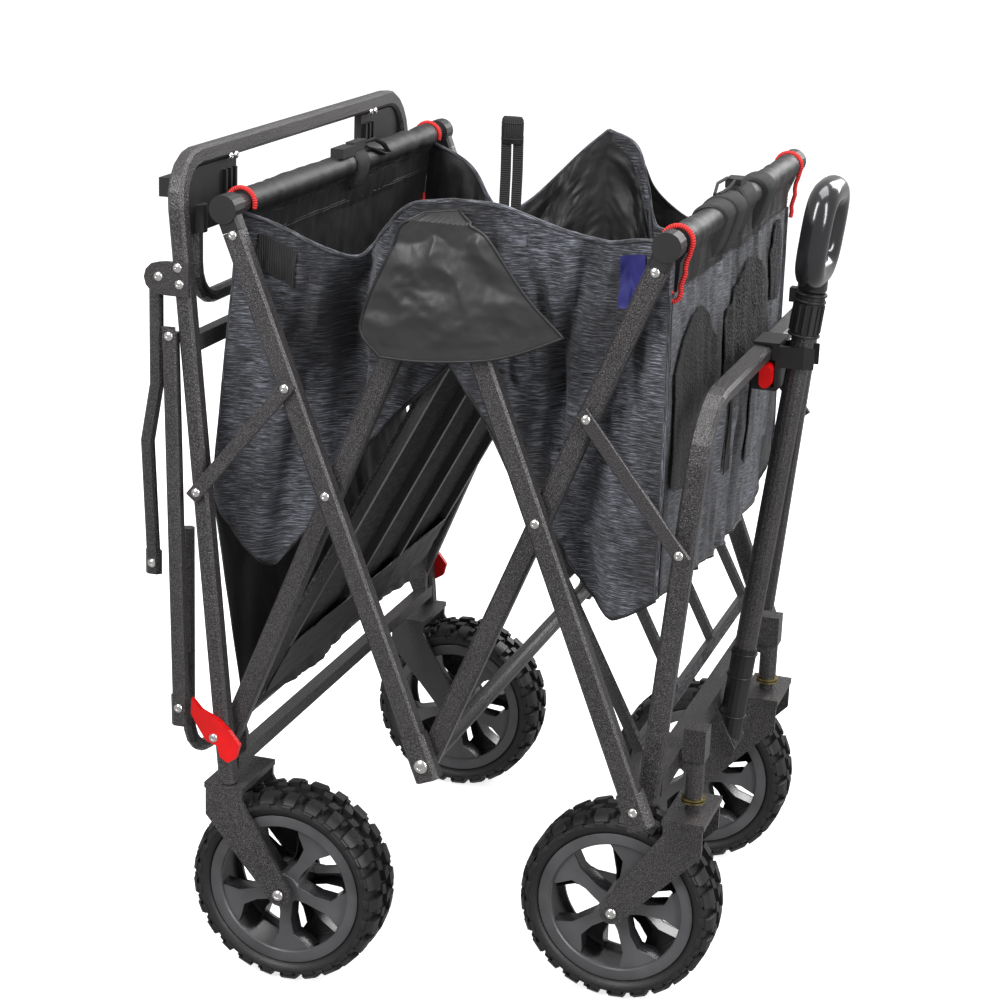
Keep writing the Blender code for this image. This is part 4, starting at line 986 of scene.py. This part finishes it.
def rod_bands():
    """Webbing bands and a small fitting round the front rod, and a buckled strap on the rear one."""
    shape = Shape("webbing", "plastic")

    def band(low, high, slant, grow, drop):
        x = ROD[0] + SLEEVE_SHIFT
        rings = []
        for y0, push in ((low, 0.0), (low + 0.004, grow), (high - 0.004, grow), (high, 0.0)):
            ring = []
            for a in turns(28):
                r = BAND_RADIUS + push * 0.6
                below = max(0.0, -sin(a))
                fall = below ** 1.5 * drop * 0.75
                ring.append(at(x + cos(a) * r * (1 - 0.5 * below) + 0.0015 * below,
                               y0 + slant * cos(a) * 0.5 - slant * 0.4 * sin(a), ROD[1] + sin(a) * r - fall))
            rings.append(ring)
        shape.rings(rings)

    for numbers in ((-0.128, -0.082, 0.02, 0.0035, 0.03), (-0.088, -0.04, 0.014, 0.006, 0.034),
                    (-0.026, 0.022, -0.016, 0.004, 0.026), (0.05, 0.098, 0.018, 0.0048, 0.032)):
        band(*numbers)
    top = ROD[1] + 0.017
    for path in (((0.202, -0.085, 0), (0.199, -0.06, 0.007), (0.201, -0.03, 0.008), (0.204, -0.006, 0.003)),
                 ((0.206, -0.08, 0), (0.208, -0.05, 0.002), (0.206, -0.018, 0.004))):
        shape.tube([at(x, y, top + rise) for x, y, rise in path], 0.0016, 8)
    shape.block(at(0.196, -0.014, top - 0.004), at(0.212, 0.012, top + 0.005), 1)
    shape.block(at(0.198, 0.008, top - 0.003), at(0.21, 0.026, top + 0.002), 1)
    shape.build("rod_bands_front", "bars_c", "webbing", smooth=50)

    strap = Shape("webbing", "plastic")
    x, top = -ROD[0], ROD[1] + ROD_RADIUS + 0.006
    rings = []
    for y0, push in ((0.004, 0.0), (0.008, 0.0016), (0.034, 0.0016), (0.038, 0.0)):
        ring = []
        r = BAND_RADIUS + push
        for a in turns(24):
            ring.append(at(x + cos(a) * r, y0, ROD[1] + sin(a) * r - 0.012 * max(0.0, -sin(a)) ** 2))
        rings.append(ring)
    strap.rings(rings)
    strap.block(at(x - 0.004, -0.03, top - 0.004), at(x + 0.01, 0.006, top + 0.006), 1)
    strap.block(at(x - 0.002, 0.006, top - 0.002), at(x + 0.008, 0.042, top + 0.008), 1)
    loop = ((0.006, 0.036, 0.004), (0.01, 0.058, 0.006), (0.012, 0.08, -0.002), (0.014, 0.092, -0.012),
            (0.013, 0.078, -0.012), (0.01, 0.056, -0.004), (0.008, 0.04, 0))
    strap.tube([at(x + across, y, top + rise) for across, y, rise in loop], 0.0028, 8, flat=0.6)
    strap.build("rod_strap_rear", "bars_a", "webbing", smooth=50)


FLAP_STEPS = 60
# inside the size limit
FLAP_INSIDE, FLAP_OUTSIDE = 0.303, 0.312  # the near bound keeps a flap clear of the bars' ends; the far bound caps how far out it lies
STRAP_X = -0.0268  # X of the lift strap
FLAP_LOW = ((-0.049, 0.657, 0.306), (-0.015, 0.657, 0.307), (0.0186, 0.66, 0.308), (0.0655, 0.668, 0.308))
# Outline of each flap: its left, right and lower edges as (X, Z, distance out), starting at the top
FLAPS = {
    "near": (
        ((-0.023, 0.785, 0.268), (-0.034, 0.776, 0.29), (-0.039, 0.76, 0.302), (-0.053, 0.729, 0.3045),
         (-0.066, 0.695, 0.3055), (-0.0682, 0.68, 0.306), (-0.049, 0.657, 0.306)),
        ((0.01, 0.79, 0.268), (0.028, 0.785, 0.293), (0.046, 0.776, 0.303), (0.07, 0.747, 0.305),
         (0.087, 0.726, 0.306), (0.123, 0.6924, 0.3065)),
        FLAP_LOW + ((0.095, 0.679, 0.3075), (0.123, 0.6924, 0.3065)),
    ),
    "far": (
        ((-0.012, 0.785, 0.268), (-0.024, 0.772, 0.292), (-0.033, 0.755, 0.302), (-0.045, 0.725, 0.3045),
         (-0.06, 0.69, 0.3055), (-0.064, 0.678, 0.306), (-0.049, 0.657, 0.306)),
        ((0.011, 0.787, 0.268), (0.022, 0.776, 0.293), (0.032, 0.76, 0.302), (0.046, 0.732, 0.305),
         (0.076, 0.706, 0.306), (0.116, 0.688, 0.3065)),
        FLAP_LOW + ((0.09, 0.676, 0.3075), (0.116, 0.688, 0.3065)),
    ),
}


def flaps():
    """The black flaps over the peaks, each a thin wrinkled sheet with a bound edge."""
    out = []
    for name, side in SIDES.items():
        left, right, low = (spline(edge, FLAP_STEPS) for edge in FLAPS[name])
        grid = []
        for i in range(FLAP_STEPS + 1):
            row = []
            v = i / FLAP_STEPS
            for j in range(FLAP_STEPS + 1):
                u = j / FLAP_STEPS
                top = left[0] * (1 - u) + right[0] * u
                corners = top * (1 - v) + (low[0] * (1 - u) + low[-1] * u) * v
                x, z, y = top * (1 - v) + low[j] * v + left[i] * (1 - u) + right[i] * u - corners
                bow = (sin(pi * u) * sin(pi * min(1.0, v * 1.1))) ** 0.5 if 0 < v * 1.1 < 1 else 0.0
                y += 0.0024 * bow
                y += bow * 0.004 * crumple(16 * x + 9 * z, 22 * z - 6 * x, 101.0 + side, 0.9)
                y += bow * 0.001 * crumple(52 * x, 60 * z, 107.0 + side, 0.8)
                y = min(max(y, FLAP_INSIDE if z < 0.784 else 0.0), FLAP_OUTSIDE)
                row.append(at(x, side * y, z))
            grid.append(row)
        obj = cloth(f"flap_{name}", grid, (0, side, 0), "flap_cloth", "flap_cloth", "pocket_fabric", 0.001)
        edge = [row[0] for row in grid] + grid[-1][1:] + [row[-1] for row in reversed(grid[:-1])]
        edge += grid[0][::-1][1:-1]
        binding = Shape("black_cloth").tube(edge, 0.0015, 8, closed=True)
        binding = binding.build(f"flap_edge_{name}", "middle_basket", "pocket_fabric", smooth=60)
        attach(obj, "middle_basket")
        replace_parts(obj, "peak_flap_" + name)
        out.append((obj, binding))
    return out


def lift_strap():
    """Two narrow straps side by side, sewn into a thick loop at the top."""
    shape = Shape("webbing", "plastic")
    for x in (-0.033, -0.0205):
        rings, uvs = [], []
        for i in range(60):
            z = 0.662 + 0.16 * i / 59
            y = 0.0012 * sin(26 * z) + 0.0004 * sin(90 * z)
            half, thick = 0.0052, 0.0011
            rings.append([at(x - half, y - thick, z), at(x + half, y - thick, z), at(x + half, y + thick, z),
                          at(x - half, y + thick, z)])
            uvs += [(z, 0.0), (z, 0.01), (z, 0.02), (z, 0.03)]
        shape.rings(rings, uvs=uvs)
    rings = []
    for z, half, thick in ((0.813, 0.01, 0.0032), (0.816, 0.0112, 0.0052), (0.83, 0.0116, 0.0062),
                           (0.837, 0.0112, 0.0058), (0.8402, 0.0095, 0.004)):
        rings.append([at(STRAP_X + half * cos(a) * (1 if abs(cos(a)) < 0.7 else 1.02), thick * sin(a), z)
                      for a in turns(20)])
    shape.rings(rings)
    for z in (0.818, 0.834):
        ring = [at(STRAP_X + 0.0112 * cos(a), 0.006 * sin(a), z) for a in turns(24)]
        shape.tube(ring, 0.0008, 6, closed=True)
    obj = shape.build("lift_strap_webbing", "middle_basket", "webbing", smooth=45)
    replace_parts(obj, "lift_strap")
    return obj


def floor_at(along, y, lift):
    """A point on the rear floor half: how far up its slope, across, and how far above its tubes' middle."""
    x, z = FLOOR_HINGE
    c, s = cos(FLOOR_LEAN), sin(FLOOR_LEAN)
    return at(-x + along * s - lift * c, y, z + along * c + lift * s)


def floor_band():
    """The black band of cloth that wraps the low end of the rear floor half."""
    grid = []
    for i in range(25):
        v = i / 24
        row = []
        for j in range(61):
            y = -0.234 + 0.468 * j / 60
            along = -0.003 + 0.06 * v
            lift = -0.0068 + 0.0016 * v - 0.0012 * crumple(18 * y, 3 * v, 131.0, 0.5)
            row.append(floor_at(along, y, lift))
        grid.append(row)
    obj = cloth("floor_band_rear", grid, (1, 0, -1), "black_cloth", "black_cloth", "pocket_fabric", 0.0012)
    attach(obj, "rear_floor")
    return obj


def basket():
    """Makes every cloth piece."""
    sheets = walls()
    rear, front, seams, lower_hem = end_walls()
    extra = patches()
    for end in ("rear", "front"):
        sleeve(end)
    for end in ("rear", "front"):
        sleeve_piping(end)
    rod_bands()
    for (end, name), (obj, with_pieces) in sheets.items():
        with_pieces = with_pieces + extra.get(f"{name}_{end}", [])
    for obj, binding in flaps():
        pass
    floor_band()
    strap = lift_strap()


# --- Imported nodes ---

MADE_ANEW = ("rear_rim", "front_rim", "rear_tyre", "front_tyre", "handle_grip", "peak_flap", "lift_strap",
             "rear_panel", "front_panel", "side_panel")
NODE_LOOKS = {  # the rest are steel
    "plastic": ("corner_plate", "rear_rod_joint", "front_rod_joint", "handle_clip", "handle_sleeve",
                "handle_collar"),
    "red": ("rack_latch", "clip_button"),
}
ROUND = ("rear_frame_tube", "front_frame_tube", "push_loop", "rack_frame", "stay_arm")
BOARD_RISE = 0.0038  # faces of a floor node this far above its tubes' middle are its board
BEVELS = {
    0.0007: ("bar_", "handle_clip"), 0.0009: "corner_plate", 0.0012: "clip_button", 0.0014: "rack_latch",
    0.0008: ("rear_link", "front_link", "rear_fork", "caster_fork", "rear_frame_tube", "front_frame_tube"),
}
EDGE_ANGLE = radians(28)


def dress_nodes(nodes):
    """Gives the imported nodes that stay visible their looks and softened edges."""
    for name, obj in nodes.items():
        if name.startswith(MADE_ANEW):
            continue
        look = next((k for k, prefixes in NODE_LOOKS.items() if name.startswith(prefixes)), "steel")
        mesh = obj.data
        mesh.materials.clear()
        mesh.materials.append(LOOK[look])
        if name in ("rear_floor", "front_floor"):
            mesh.materials.append(LOOK["board_cloth"])
            sign = -1 if name == "rear_floor" else 1
            normal = Vector((sign * cos(FLOOR_LEAN), 0, sin(FLOOR_LEAN)))
            hinge = at(sign * FLOOR_HINGE[0], 0, FLOOR_HINGE[1])
            for face in mesh.polygons:
                rise = (obj.matrix_world @ face.center - hinge).dot(normal)
                if rise > BOARD_RISE and face.area > 1e-6:
                    face.material_index = 1
        mesh.polygons.foreach_set("use_smooth", [True] * len(mesh.polygons))
        mesh.set_sharp_from_angle(angle=radians(50) if name.startswith(ROUND) else EDGE_ANGLE)
        for width, prefixes in BEVELS.items():
            if name.startswith(prefixes):
                edge = obj.modifiers.new("edge", "BEVEL")
                edge.width, edge.segments = width, 2
                edge.limit_method, edge.angle_limit = "ANGLE", EDGE_ANGLE
                edge.harden_normals = True


# --- Stage ---


def make_stage():
    """The pale floor, the soft lights and the camera."""
    bm = bmesh.new()
    bmesh.ops.create_grid(bm, x_segments=1, y_segments=1, size=200)
    mesh = bpy.data.meshes.new("floor")
    bm.to_mesh(mesh)
    bm.free()
    floor = place("floor", mesh)
    mesh.materials.append(Nodes("floor_paper").finish(
        Base_Color=(0.8, 0.8, 0.8, 1), Roughness=0.9, Emission_Color=(1, 1, 1, 1), Emission_Strength=0.75))
    floor.visible_diffuse = floor.visible_glossy = False

    world = bpy.data.worlds.new("studio")
    bpy.context.scene.world = world
    world.use_nodes = True
    sky = world.node_tree.nodes["Background"].inputs
    sky["Color"].default_value, sky["Strength"].default_value = (1, 1, 1, 1), 0.42

    for name, location, width, height, power in LIGHTS:
        light = bpy.data.lights.new(name, "AREA")
        light.shape, light.size, light.size_y, light.energy = "RECTANGLE", width, height, power
        obj = place(name, light)
        obj.location = location
        obj.rotation_mode = "QUATERNION"
        obj.rotation_quaternion = (Vector(location) - Vector(LIGHT_TARGET)).to_track_quat("Z", "Y")

    flat = cos(CAMERA_ELEVATION)
    back = Vector((sin(CAMERA_AZIMUTH) * flat, -cos(CAMERA_AZIMUTH) * flat, sin(CAMERA_ELEVATION)))
    right = (-back).cross(Vector((0, 0, 1))).normalized()
    up = right.cross(-back)
    side = right * cos(CAMERA_ROLL) + up * sin(CAMERA_ROLL)
    top = up * cos(CAMERA_ROLL) - right * sin(CAMERA_ROLL)
    data = bpy.data.cameras.new("camera")
    data.lens, data.sensor_width = LENS, 36
    data.clip_end = 600
    camera = place("camera", data)
    matrix = Matrix((side, top, back)).transposed().to_4x4()
    matrix.translation = at(*CAMERA_TARGET) + back * CAMERA_DISTANCE
    camera.matrix_world = matrix
    bpy.context.scene.camera = camera
    bpy.context.scene.view_settings.view_transform = "Standard"


def main():
    for obj in list(bpy.data.objects):
        bpy.data.objects.remove(obj, do_unlink=True)
    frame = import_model()
    low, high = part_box("middle_tube")  # X is measured from its middle here
    MIDDLE["x"] = (low.x + high.x) / 2
    make_looks()
    make_stage()
    dress_nodes(frame["nodes"])
    wheels()
    rivets()
    handle()
    basket()


main()
